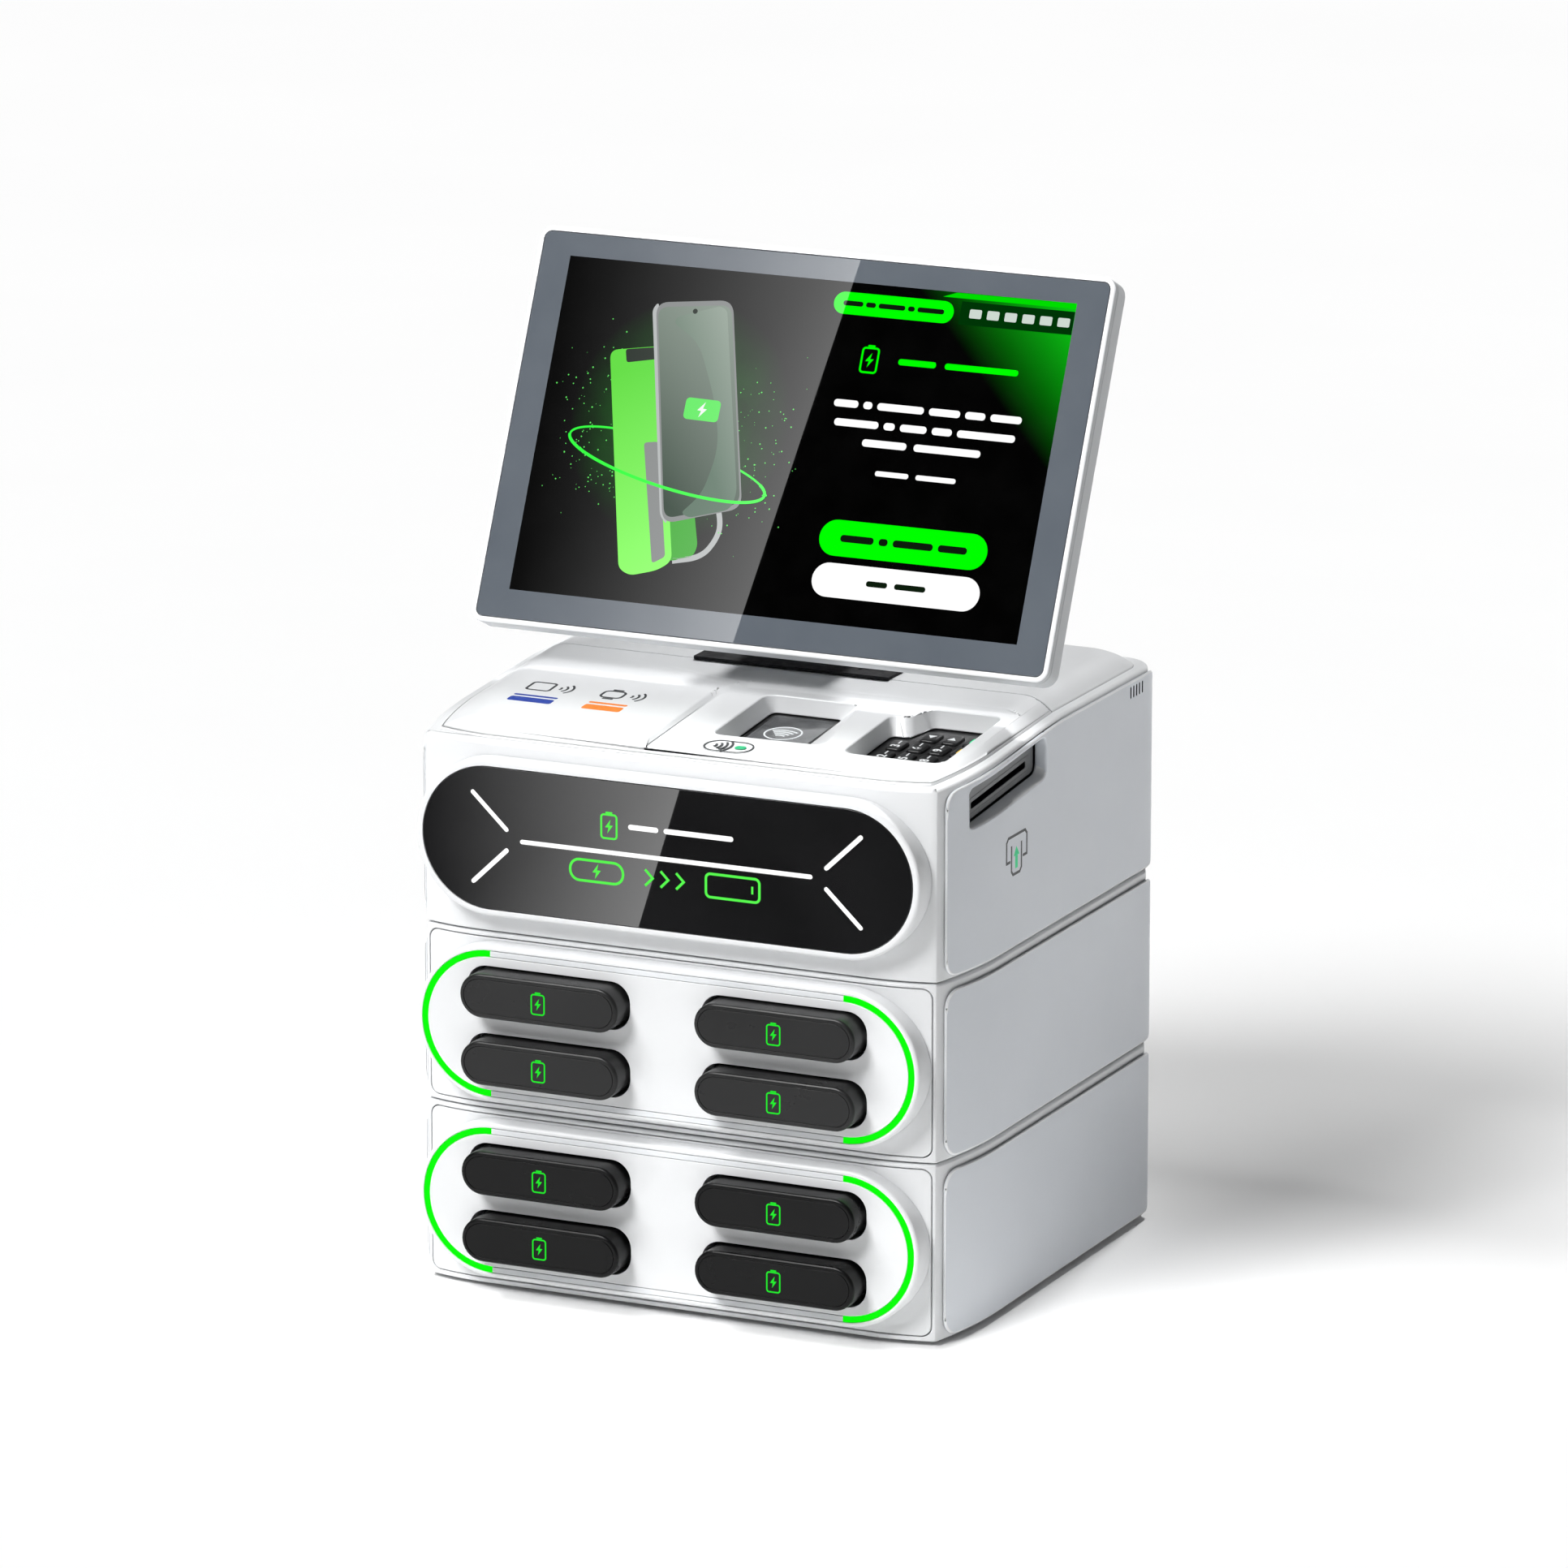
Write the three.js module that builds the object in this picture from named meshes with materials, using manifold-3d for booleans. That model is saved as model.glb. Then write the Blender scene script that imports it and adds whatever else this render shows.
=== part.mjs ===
// Counter-top phone charging kiosk: two stacked battery modules with four lending power banks each,
// under a head module with a payment terminal and a tilting touch screen.
// Millimetres, +Z up, the front faces -Y, the origin is at the middle of the footprint on the floor.
import * as THREE from "three";
import { mergeVertices } from "three/addons/utils/BufferGeometryUtils.js";
import Module from "manifold-3d";

const wasm = await Module();
wasm.setup();

// ---------- driving dimensions ----------
const GAP = 0.3; // clearance between touching pieces
const OVER = 1; // how far a cutter reaches past the face that it opens
const FAR = 50; // half height of a cutter that only has to be taller than the piece

// plan of the body: flat front that curves back, a tight corner, then a long bow into the flat side
const HALF_WIDTH = 122;
const FRONT_Y = -99.5;
const REAR_Y = 118;
const MID_Y = (FRONT_Y + REAR_Y) / 2;
const HALF_DEPTH = (REAR_Y - FRONT_Y) / 2;
const FRONT_FLAT = 88; // the front is flat between -88 and 88
const FRONT_RADIUS = 90;
const FRONT_CORNER_X = 115.2;
const SIDE_BOW_Y = -46; // the bow ends here and the side goes straight back
const SIDE_RADIUS = 192.3;
const SIDE_CORNER_Y = -90;
const REAR_RADIUS = 16;

// stack of modules
const BASE_Z = 2;
const MODULE_PITCH = 76;
const SEAM = 0.8;
const HEAD_Z = BASE_Z + 2 * MODULE_PITCH;
const WALL = 2.6;
const TOP_PLATE = 2.5;
const TOP_BEVEL = 1.2;
const BOTTOM_BEVEL = 0.5;
const CABLE_HOLE_RADIUS = 13;
const CABLE_HOLE_Y = 72;

// feet and base plate
const FOOT_RADIUS = 9;
const FOOT_X = 95;
const FOOT_FRONT_Y = -72;
const FOOT_REAR_Y = 92;
const BASE_PLATE_THICKNESS = 2.5;

// side covers
const COVER_THICKNESS = 1.2;
const COVER_FRONT_Y = -91.5;
const COVER_REAR_Y = 112.6;
const COVER_CORNER = 8;
const COVER_BELOW = 1.2; // cover's lower edge above the module's lower edge
const COVER_ABOVE = 3.6; // cover's upper edge below the module's upper edge

// front plate, pill bezel, light ring
const PLATE_HALF_WIDTH = 113.6;
const PLATE_BELOW = 2.4;
const PLATE_ABOVE = 2.3;
const PLATE_CORNER = 4;
const PLATE_THICKNESS = 3;
const PILL_FACE_Y = -108;
const PILL_HALF_LENGTH = 113.6;
const PILL_RADIUS = 33.3;
const PILL_BEVEL = 0.6;
const PILL_HEIGHT = 38.7; // centre of the pill above the module's lower edge
const PILL_STEPS = 14;
const RING_RADIUS = 31;
const RING_WIDTH = 2.3;
const RING_DEPTH = 1.2;
const RING_PLAY = 0.2; // side clearance of the ring in its groove
const RING_OFFSET = PILL_RADIUS - RING_RADIUS;

// power banks, slots, cage and contact board
const BANK_WIDTH = 72;
const BANK_HEIGHT = 18.7;
const BANK_LENGTH = 138;
const BANK_FACE_Y = -118;
const BANK_COLUMN = 53.25;
const BANK_ROW = 14.4;
const BANK_BEVEL = 0.9;
const SLOT_WIDTH = 74.2;
const SLOT_HEIGHT = 20.4;
const SLOT_CORNER = 8.6;
const CAGE_HALF_WIDTH = 100;
const CAGE_HALF_HEIGHT = 27.2;
const CAGE_FRONT_Y = FRONT_Y + PLATE_THICKNESS + GAP;
const CAGE_REAR_Y = 28;
const CHANNEL_WIDTH = 73.4;
const CHANNEL_HEIGHT = 20;
const BOARD_THICKNESS = 1.6;
const BOARD_INSET = 4;
const CONNECTOR_WIDTH = 14;
const CONNECTOR_DEPTH = 6;
const CONNECTOR_HEIGHT = 5;
const CAGE_WINDOW = { halfWidth: 13, halfHeight: 22, corner: 4 };
const FRONT_REACH = 20; // depth of the cutters for the front window, past the curved part of the front

// head: side rim, deck and its slope
const SEAM_Y = 16; // fine seam across the deck: slope in front of it, flat behind it
const SEAM_HALF = 0.15;
const RIM_REAR_Z = 241.7;
const RIM_SLOPE = 0.065;
const DECK_REAR_Z = 248;
const DECK_SLOPE = 0.0864;
const DECK_INSET = 4.8; // rim strip of the shell that shows around the deck
const DECK_THICKNESS = 3.2;
const HEAD_COVER_REAR_Z = 239.9;
const HEAD_COVER_SLOPE = 0.0735;
const PLATFORM_DEPTH = 1.6;
const SHOULDER_DROP = 8; // the head's thick upper wall starts this far below the front rim
const DECK_SKIRT = 3; // the deck's edge reaches this far below the rim
const DECK_WALL = 2.8;
// crown of the deck: distance in from its edge, share of the way from the rim to the deck's plane, lift
const DECK_CROWN = [
  [0, 0, 0.4],
  [0.8, 0, 1.1],
  [4.5, 0.45, 0.8],
  [8.5, 0.8, 0.3],
  [13, 1, 0],
];
const WELL_WALL = 1.6;
const WELL_CORNER = 4;
const PLATFORM_CORNER = 14;
const CABLE_PASS = { halfWidth: 14, y0: 48, y1: 62 };

// inside the head: power supply, control board with its components, mains inlet
const SUPPLY = { x0: -100, x1: -8, y0: 0, y1: 92, height: 34 };
const SUPPLY_MARGIN = 4;
const GROOVES = { count: 6, pitch: 14, width: 6, depth: 3 };
const CONTROL = { x0: 18, x1: 110, y0: -2, y1: 96, above: 8 };
const LEG_RADIUS = 3;
const LEG_INSET = 6;
// components on the control board: x0, x1, y0, y1, height
const COMPONENTS = [
  [34, 56, 20, 42, 2.4],
  [70, 82, 24, 36, 1.9],
  [30, 90, 60, 68, 8.4],
  [92, 106, 30, 46, 11.4],
];
const INLET = { x: -60, z: 204, halfWidth: 15, halfHeight: 10.5, depth: 20, corner: 3 };
const INLET_FLANGE = { halfWidth: 20, halfHeight: 13 };
const INLET_CAVITY = { halfWidth: 12, halfHeight: 8, depth: 16, corner: 2 };
const INLET_PIN = { halfWidth: 1, halfHeight: 2, tip: 4 };
const INLET_PINS = [[-6, -1], [0, 2.5], [6, -1]];

// head pill: white bezel, black panel, light bars
const HEAD_PILL_Z = 195.8;
const PANEL_RADIUS = 30.1;
const PANEL_HALF_LENGTH = 110.3;
const PANEL_THICKNESS = 2;
const BAR_WIDTH = 2;
const BAR_CENTRE_HALF = 65;
const BAR_DIAGONAL_INNER = [72.1, 4.4];
const BAR_DIAGONAL_OUTER = [87.4, 18.9];
const BAR_BACKING = 1;
const BACKING_INSET = 6;

// payment terminal, lying on its side under the deck with its card slot towards +X
const TERMINAL_TILT = Math.atan(DECK_SLOPE);
const TERMINAL_Y = -40.2;
const TERMINAL_DROP = 9.7; // terminal's face below the deck's surface
const TERMINAL_X0 = -12;
const TERMINAL_X1 = 117.4;
const TERMINAL_WIDTH = 71.6;
const TERMINAL_HEIGHT = 16.3;
const TERMINAL_CORNER = 6;
const TERMINAL_FOOT_BEVEL = 2;
const TERMINAL_FACE_BEVEL = 1;
const CARD_SLOT_WIDTH = 54.8;
const CARD_SLOT_HEIGHT = 2.8;
const CARD_SLOT_DROP = 8;
const CARD_SLOT_DEPTH = 24;
const DISPLAY_X0 = 5;
const DISPLAY_X1 = 35.4;
const DISPLAY_Y0 = -23.4;
const DISPLAY_Y1 = 26.6;
const DISPLAY_THICKNESS = 1.2;
const DISPLAY_CORNER = 3;
const DISPLAY_PROUD = 0.1; // the display stands this far out of the terminal's face
const KEY_WIDTH = 7.2;
const KEY_LENGTH = 10.6;
const KEY_CORNER = 1.8;
const KEY_ABOVE = 1.3;
const KEY_BELOW = 1.5;
const KEY_POCKET = 3.3;
const KEY_COLUMNS = [70.8, 80.3, 89.8, 99.3];
const KEY_ROWS = [-9, 4.4, 17.8];

// card mouth in the right-hand cover
const MOUTH_Y0 = -76.5;
const MOUTH_Y1 = -4;
const MOUTH_TOP = 9.4;
const MOUTH_SILL_OUTER = 28.5;
const MOUTH_SILL_INNER = 24.8;
const MOUTH_WALL = 2;
const MOUTH_INNER_X = 118;
const MOUTH_OUTER_X = 130; // the cutter's outer end, past the cover
const COVER_BEND_Y = 10; // the cover's upper edge slopes in front of this and is level behind it
const VENT_COUNT = 5;
const VENT_PITCH = 3.05;
const VENT_FIRST_Y = 83.8;
const VENT_WIDTH = 1.2;
const VENT_Z0 = 232.6;
const VENT_Z1 = 237.8;

// screen: its own frame has X along the screen, Z up it and Y going back into it
const SCREEN_Y = 12.3;
const SCREEN_Z = 341.7;
const SCREEN_TILT = THREE.MathUtils.degToRad(24.47);
const GLASS_WIDTH = 257.8;
const GLASS_HEIGHT = 165.7;
const GLASS_THICKNESS = 2;
const GLASS_CORNER = 3.5;
const RIM = 2.5;
const FRAME_DEPTH = 3;
const SCREEN_DEPTH = 13.5;
const SCREEN_WALL = 2.4;
const SCREEN_BACK_BEVEL = 2.6;
const LEDGE_WIDTH = 242;
const LEDGE_HEIGHT = 152;
const LCD_WIDTH = 239;
const LCD_HEIGHT = 149;
const LCD_THICKNESS = 4;

// stand and hinge, in the screen's frame where marked local
const HINGE_LOCAL_Y = 22.5;
const HINGE_LOCAL_Z = -35;
const PIN_RADIUS = 3;
const KNUCKLE_RADIUS = 8;
const KNUCKLE_HALF = 25;
const LUG_INNER = 25.5;
const LUG_OUTER = 32.5;
const PIN_HALF = 34;
const STAND_BASE_Y0 = 36;
const STAND_BASE_Y1 = 96;
const STAND_BASE_HALF = 42;
const STAND_BASE_THICKNESS = 4;
const STAND_NECK = 11;
const STAND_NECK_Y = 22; // the neck's foot behind the base's front edge
const BORE_HALF = 60;
const SCREEN_CABLE_PASS = { width: 16, height: 8, corner: 3, z: -62 };

// gasket on the deck under the screen
const GASKET_HALF = 43.5;
const GASKET_Y0 = 16.6;
const GASKET_Y1 = 30.6;
const GASKET_THICKNESS = 1.2;
const GASKET_POCKET = { x0: 27, x1: 39, y0: 20, y1: 26 };

// ---------- materials ----------
const paint = (color, roughness, metalness = 0) =>
  new THREE.MeshStandardMaterial({ color, roughness, metalness });
const MATERIALS = {
  white: () => paint(0xeef0f2, 0.38),
  coverGrey: () => paint(0xacb1b7, 0.42),
  black: () => paint(0x2b2c2d, 0.4),
  glossBlack: () => paint(0x101113, 0.08),
  green: () => paint(0x00ff00, 0.4),
  lightWhite: () => paint(0xffffff, 0.4),
  bank: () => paint(0x2f3030, 0.35),
  rubber: () => paint(0x1c1d1f, 0.85),
  cage: () => paint(0x5a5d60, 0.5),
  board: () => paint(0x14532d, 0.45),
  glass: () => paint(0x5b6068, 0.06),
  steel: () => paint(0x9a9da1, 0.35, 1),
  aluminium: () => paint(0xc9ccd0, 0.35, 1),
};

// ---------- mesh helpers ----------
// Signed volume of a triangle list, to find out which way its faces point.
function signedVolume(positions, index) {
  const a = new THREE.Vector3();
  const b = new THREE.Vector3();
  const c = new THREE.Vector3();
  let volume = 0;
  for (let i = 0; i < index.length; i += 3) {
    a.fromArray(positions, 3 * index[i]);
    b.fromArray(positions, 3 * index[i + 1]);
    c.fromArray(positions, 3 * index[i + 2]);
    volume += a.dot(b.cross(c)) / 6;
  }
  return volume;
}

// A closed three.js geometry as a manifold solid with its faces pointing out.
function solid(geometry) {
  const bare = geometry.index ? geometry.toNonIndexed() : geometry.clone();
  bare.deleteAttribute("normal");
  bare.deleteAttribute("uv");
  const merged = mergeVertices(bare, 1e-4);
  const vertProperties = merged.attributes.position.array;
  const triVerts = new Uint32Array(merged.index.array);
  if (signedVolume(vertProperties, triVerts) < 0) {
    for (let i = 0; i < triVerts.length; i += 3) {
      const first = triVerts[i];
      triVerts[i] = triVerts[i + 1];
      triVerts[i + 1] = first;
    }
  }
  return new wasm.Manifold(new wasm.Mesh({ numProp: 3, vertProperties, triVerts }));
}

function geometryOf(body) {
  const mesh = body.getMesh();
  const geometry = new THREE.BufferGeometry();
  geometry.setAttribute("position", new THREE.BufferAttribute(mesh.vertProperties, 3));
  geometry.setIndex(new THREE.BufferAttribute(mesh.triVerts, 1));
  geometry.computeVertexNormals();
  return geometry;
}

// Skin over rings of equal length, closed by a cap at each end; dropAxis is the ring planes' normal axis.
function loft(rings, dropAxis = 2) {
  const count = rings[0].length;
  const positions = rings.flat(2);
  const index = [];
  for (let r = 0; r + 1 < rings.length; r++) {
    for (let i = 0; i < count; i++) {
      const j = (i + 1) % count;
      const a = r * count + i;
      const b = r * count + j;
      index.push(a, b, a + count, b, b + count, a + count);
    }
  }
  const keep = [0, 1, 2].filter((axis) => axis !== dropAxis);
  const last = (rings.length - 1) * count;
  const flatRing = (ring) => ring.map((p) => new THREE.Vector2(p[keep[0]], p[keep[1]]));
  const forward = THREE.ShapeUtils.area(flatRing(rings[0])) > 0;
  for (const [ring, offset, lower] of [[rings[0], 0, true], [rings.at(-1), last, false]]) {
    for (const [a, b, c] of THREE.ShapeUtils.triangulateShape(flatRing(ring), [])) {
      const triangle = [offset + a, offset + b, offset + c];
      const turned = THREE.ShapeUtils.area([a, b, c].map((k) => flatRing(ring)[k])) > 0;
      if (turned === (forward === lower)) triangle.reverse();
      index.push(...triangle);
    }
  }
  const geometry = new THREE.BufferGeometry();
  geometry.setAttribute("position", new THREE.Float32BufferAttribute(positions, 3));
  geometry.setIndex(index);
  return solid(geometry);
}

const box = (x0, x1, y0, y1, z0, z1) =>
  solid(
    new THREE.BoxGeometry(x1 - x0, y1 - y0, z1 - z0)
      .translate((x0 + x1) / 2, (y0 + y1) / 2, (z0 + z1) / 2),
  );

const cylinderX = (x0, x1, y, z, radius, steps = 20) =>
  solid(
    new THREE.CylinderGeometry(radius, radius, x1 - x0, steps)
      .rotateZ(Math.PI / 2)
      .translate((x0 + x1) / 2, y, z),
  );

const cylinderZ = (x, y, z0, z1, radius, steps = 20) =>
  solid(
    new THREE.CylinderGeometry(radius, radius, z1 - z0, steps)
      .rotateX(Math.PI / 2)
      .translate(x, y, (z0 + z1) / 2),
  );

const joinAll = (bodies) => bodies.reduce((sum, body) => sum.add(body));
const cutAll = (body, cutters) => cutters.reduce((rest, cutter) => rest.subtract(cutter), body);

// Points of an arc round (cx, cy), both ends included.
function arc(cx, cy, radius, from, to, steps) {
  return Array.from({ length: steps + 1 }, (_, i) => {
    const angle = from + ((to - from) * i) / steps;
    return [cx + radius * Math.cos(angle), cy + radius * Math.sin(angle)];
  });
}

function roundedRect(x0, x1, y0, y1, radius, steps = 3) {
  const quarter = Math.PI / 2;
  return [
    ...arc(x1 - radius, y0 + radius, radius, -quarter, 0, steps),
    ...arc(x1 - radius, y1 - radius, radius, 0, quarter, steps),
    ...arc(x0 + radius, y1 - radius, radius, quarter, 2 * quarter, steps),
    ...arc(x0 + radius, y0 + radius, radius, 2 * quarter, 3 * quarter, steps),
  ];
}

// Stadium outline, long side along the first axis.
function stadium(halfLength, radius, steps = PILL_STEPS) {
  const quarter = Math.PI / 2;
  const reach = halfLength - radius;
  return [
    ...arc(reach, 0, radius, -quarter, quarter, steps),
    ...arc(-reach, 0, radius, quarter, 3 * quarter, steps),
  ];
}

// A polygon whose corners are rounded by a short curve, with the same number of points at each corner.
function roundCorners(points, radius, steps = 3) {
  const count = points.length;
  return points.flatMap((corner, i) => {
    const before = new THREE.Vector2(...points[(i + count - 1) % count]);
    const after = new THREE.Vector2(...points[(i + 1) % count]);
    const here = new THREE.Vector2(...corner);
    const reach = Math.min(radius, 0.45 * here.distanceTo(before), 0.45 * here.distanceTo(after));
    const start = here.clone().add(before.sub(here).setLength(reach));
    const end = here.clone().add(after.sub(here).setLength(reach));
    const curve = new THREE.QuadraticBezierCurve(start, here, end);
    return curve.getPoints(steps).map((p) => [p.x, p.y]);
  });
}

const shifted = (outline, dx, dy) => outline.map(([x, y]) => [x + dx, y + dy]);
const prismZ = (outline, z0, z1) => loft([z0, z1].map((z) => outline.map(([x, y]) => [x, y, z])), 2);
const prismY = (outline, y0, y1) => loft([y0, y1].map((y) => outline.map(([x, z]) => [x, y, z])), 1);
const prismX = (outline, x0, x1) => loft([x0, x1].map((x) => outline.map(([y, z]) => [x, y, z])), 0);

// Vertical prism whose ends follow the heights z0(y) and z1(y).
const slopedPrism = (outline, z0, z1) =>
  loft([z0, z1].map((z) => outline.map(([x, y]) => [x, y, z(y)])), 2);

// ---------- body outline ----------
// Right half from the middle of the front to the middle of the rear, then mirrored.
function bodyOutline() {
  const frontTurn = Math.asin((FRONT_CORNER_X - FRONT_FLAT) / FRONT_RADIUS);
  const sideTurn = Math.asin((SIDE_BOW_Y - SIDE_CORNER_Y) / SIDE_RADIUS);
  const down = -Math.PI / 2;
  const front = arc(FRONT_FLAT, FRONT_Y + FRONT_RADIUS, FRONT_RADIUS, down, down + frontTurn, 5);
  const side = arc(HALF_WIDTH - SIDE_RADIUS, SIDE_BOW_Y, SIDE_RADIUS, -sideTurn, 0, 5);
  const frontDirection = new THREE.Vector2(Math.cos(frontTurn), Math.sin(frontTurn));
  const sideDirection = new THREE.Vector2(Math.sin(sideTurn), Math.cos(sideTurn));
  const start = new THREE.Vector2(...front.at(-1));
  const end = new THREE.Vector2(...side[0]);
  const across = end.clone().sub(start);
  const reach = across.cross(sideDirection) / frontDirection.cross(sideDirection);
  const control = start.clone().addScaledVector(frontDirection, reach);
  const corner = new THREE.QuadraticBezierCurve(start, control, end).getPoints(3).slice(1, -1);
  const rear = arc(HALF_WIDTH - REAR_RADIUS, REAR_Y - REAR_RADIUS, REAR_RADIUS, 0, Math.PI / 2, 6);
  const right = [...front, ...corner.map((p) => [p.x, p.y]), ...side, ...rear];
  const left = right.map(([x, y]) => [-x, y]).reverse();
  return [...right, ...left];
}

// The outline moved in by a distance at its flat front, sides and rear; a negative distance moves it out.
function inset(distance) {
  const kx = 1 - distance / HALF_WIDTH;
  const ky = 1 - distance / HALF_DEPTH;
  return OUTLINE.map(([x, y]) => [x * kx, MID_Y + (y - MID_Y) * ky]);
}

const OUTLINE = bodyOutline();
const ringAt = (distance, z) => inset(distance).map(([x, y]) => [x, y, z]);
const bandBetween = (outer, inner, z0, z1) =>
  prismZ(inset(outer), z0, z1).subtract(prismZ(inset(inner), z0 - OVER, z1 + OVER));

// Heights along the head's slope.
const rimHeight = (y) => RIM_REAR_Z + RIM_SLOPE * Math.min(0, y - SEAM_Y);
const deckHeight = (y) => DECK_REAR_Z + DECK_SLOPE * Math.min(0, y - SEAM_Y);
const deckBelow = (drop) => (y) => deckHeight(y) - drop;

// ---------- assembly ----------
const kiosk = new THREE.Group();
kiosk.name = "phone_charging_kiosk";

function place(name, body, material, parent = kiosk) {
  const mesh = new THREE.Mesh(geometryOf(body), material());
  mesh.name = name;
  parent.add(mesh);
  return mesh;
}

// ---------- base ----------
function addBase() {
  const plateZ = BASE_Z + 0.4;
  const plate = prismZ(inset(WALL + 0.4), plateZ, plateZ + BASE_PLATE_THICKNESS);
  place("base_plate", plate, MATERIALS.steel);
  const spots = [
    ["front_left", -FOOT_X, FOOT_FRONT_Y],
    ["front_right", FOOT_X, FOOT_FRONT_Y],
    ["rear_left", -FOOT_X, FOOT_REAR_Y],
    ["rear_right", FOOT_X, FOOT_REAR_Y],
  ];
  for (const [corner, x, y] of spots) {
    const profile = [
      [0, 0],
      [FOOT_RADIUS - 0.8, 0],
      [FOOT_RADIUS, 0.8],
      [FOOT_RADIUS, plateZ - GAP],
      [0, plateZ - GAP],
    ].map(([r, z]) => new THREE.Vector2(r, z));
    const foot = solid(new THREE.LatheGeometry(profile, 16).rotateX(Math.PI / 2).translate(x, y, 0));
    place(`foot_${corner}`, foot, MATERIALS.rubber);
  }
}

// ---------- battery modules ----------
// Outer skin of a module with a bevel at its lower and upper edge.
const moduleSkin = (z0, z1) =>
  loft([
    ringAt(BOTTOM_BEVEL, z0),
    ringAt(0, z0 + BOTTOM_BEVEL),
    ringAt(0, z1 - TOP_BEVEL),
    ringAt(TOP_BEVEL, z1),
  ]);

function frontWindow(z0, grow) {
  const x = PLATE_HALF_WIDTH + grow;
  const low = z0 + PLATE_BELOW - grow;
  const high = z0 + MODULE_PITCH - SEAM - PLATE_ABOVE + grow;
  return roundedRect(-x, x, low, high, PLATE_CORNER + grow);
}

function slotOutlines(z, width, height, corner) {
  return [-1, 1].flatMap((column) =>
    [-1, 1].map((row) =>
      shifted(
        roundedRect(-width / 2, width / 2, -height / 2, height / 2, corner, 4),
        column * BANK_COLUMN,
        z + row * BANK_ROW,
      ),
    ),
  );
}

function batteryShell(z0) {
  const z1 = z0 + MODULE_PITCH - SEAM;
  return cutAll(moduleSkin(z0, z1), [
    prismZ(inset(WALL), z0 - OVER, z1 - TOP_PLATE),
    prismY(frontWindow(z0, 0.4), FRONT_Y - OVER, FRONT_Y + FRONT_REACH),
    cylinderZ(0, CABLE_HOLE_Y, z1 - TOP_PLATE - OVER, z1 + OVER, CABLE_HOLE_RADIUS),
  ]);
}

// Side cover: a curved sheet over the module's side, with rounded corners.
function sideCover(side, outline) {
  const low = Math.min(...outline.map(([, z]) => z)) - OVER;
  const high = Math.max(...outline.map(([, z]) => z)) + OVER;
  const sheet = bandBetween(-GAP - COVER_THICKNESS, -GAP, low, high);
  const [x0, x1] = [side * (HALF_WIDTH - FRONT_REACH), side * (HALF_WIDTH + FRONT_REACH)].sort((a, b) => a - b);
  return sheet.intersect(prismX(outline, x0, x1));
}

function batteryCover(side, z0) {
  const low = z0 + COVER_BELOW;
  const high = z0 + MODULE_PITCH - SEAM - COVER_ABOVE;
  return sideCover(side, roundedRect(COVER_FRONT_Y, COVER_REAR_Y, low, high, COVER_CORNER, 4));
}

function frontPlate(z0) {
  const z = z0 + PILL_HEIGHT;
  const sheet = bandBetween(0, PLATE_THICKNESS, z0, z0 + MODULE_PITCH);
  const plate = sheet.intersect(prismY(frontWindow(z0, 0), FRONT_Y - OVER, FRONT_Y + FRONT_REACH));
  const slots = slotOutlines(z, SLOT_WIDTH, SLOT_HEIGHT, SLOT_CORNER);
  return cutAll(plate, slots.map((slot) => prismY(slot, FRONT_Y - OVER, FRONT_Y + FRONT_REACH)));
}

// Pill with a small bevel round its face, its back cut to the curve of the housing behind it.
function pillBlank(z) {
  const ring = (distance, y) =>
    stadium(PILL_HALF_LENGTH - distance, PILL_RADIUS - distance).map(([x, dz]) => [x, y, z + dz]);
  const blank = loft([
    ring(PILL_BEVEL, PILL_FACE_Y),
    ring(0, PILL_FACE_Y + PILL_BEVEL),
    ring(0, FRONT_Y + FRONT_REACH / 2),
  ], 1);
  return blank.subtract(prismZ(inset(-GAP), z - FAR, z + FAR));
}

const pillPrism = (halfLength, radius, z, y0, y1) =>
  prismY(shifted(stadium(halfLength, radius), 0, z), y0, y1);

// Band of the light ring between two depths; grow widens it on both sides.
function ringBand(z, grow, y0, y1) {
  const outerHalf = PILL_HALF_LENGTH - RING_OFFSET + grow;
  const outer = pillPrism(outerHalf, RING_RADIUS + grow, z, y0, y1);
  const narrow = RING_WIDTH + 2 * grow;
  const inner = pillPrism(outerHalf - narrow, RING_RADIUS + grow - narrow, z, y0 - OVER, y1 + OVER);
  return outer.subtract(inner);
}

function pillBezel(z) {
  const groove = ringBand(z, RING_PLAY, PILL_FACE_Y - OVER, PILL_FACE_Y + RING_DEPTH + GAP);
  const slots = slotOutlines(z, SLOT_WIDTH, SLOT_HEIGHT, SLOT_CORNER);
  const cutters = slots.map((slot) => prismY(slot, PILL_FACE_Y - OVER, FRONT_Y + FRONT_REACH));
  return cutAll(pillBlank(z), [groove, ...cutters]);
}

const lightRing = (z) => ringBand(z, 0, PILL_FACE_Y, PILL_FACE_Y + RING_DEPTH);

function slotCage(z) {
  const block = box(-CAGE_HALF_WIDTH, CAGE_HALF_WIDTH, CAGE_FRONT_Y, CAGE_REAR_Y,
    z - CAGE_HALF_HEIGHT, z + CAGE_HALF_HEIGHT);
  const curveRoom = prismZ(inset(PLATE_THICKNESS + GAP), z - FAR, z + FAR);
  const channels = slotOutlines(z, CHANNEL_WIDTH, CHANNEL_HEIGHT, CHANNEL_HEIGHT / 2 - 0.2);
  const { halfWidth, halfHeight, corner } = CAGE_WINDOW;
  const middle = roundedRect(-halfWidth, halfWidth, z - halfHeight, z + halfHeight, corner);
  const through = (outline) => prismY(outline, CAGE_FRONT_Y - OVER, CAGE_REAR_Y + OVER);
  return cutAll(block.intersect(curveRoom), [...channels, middle].map(through));
}

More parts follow.
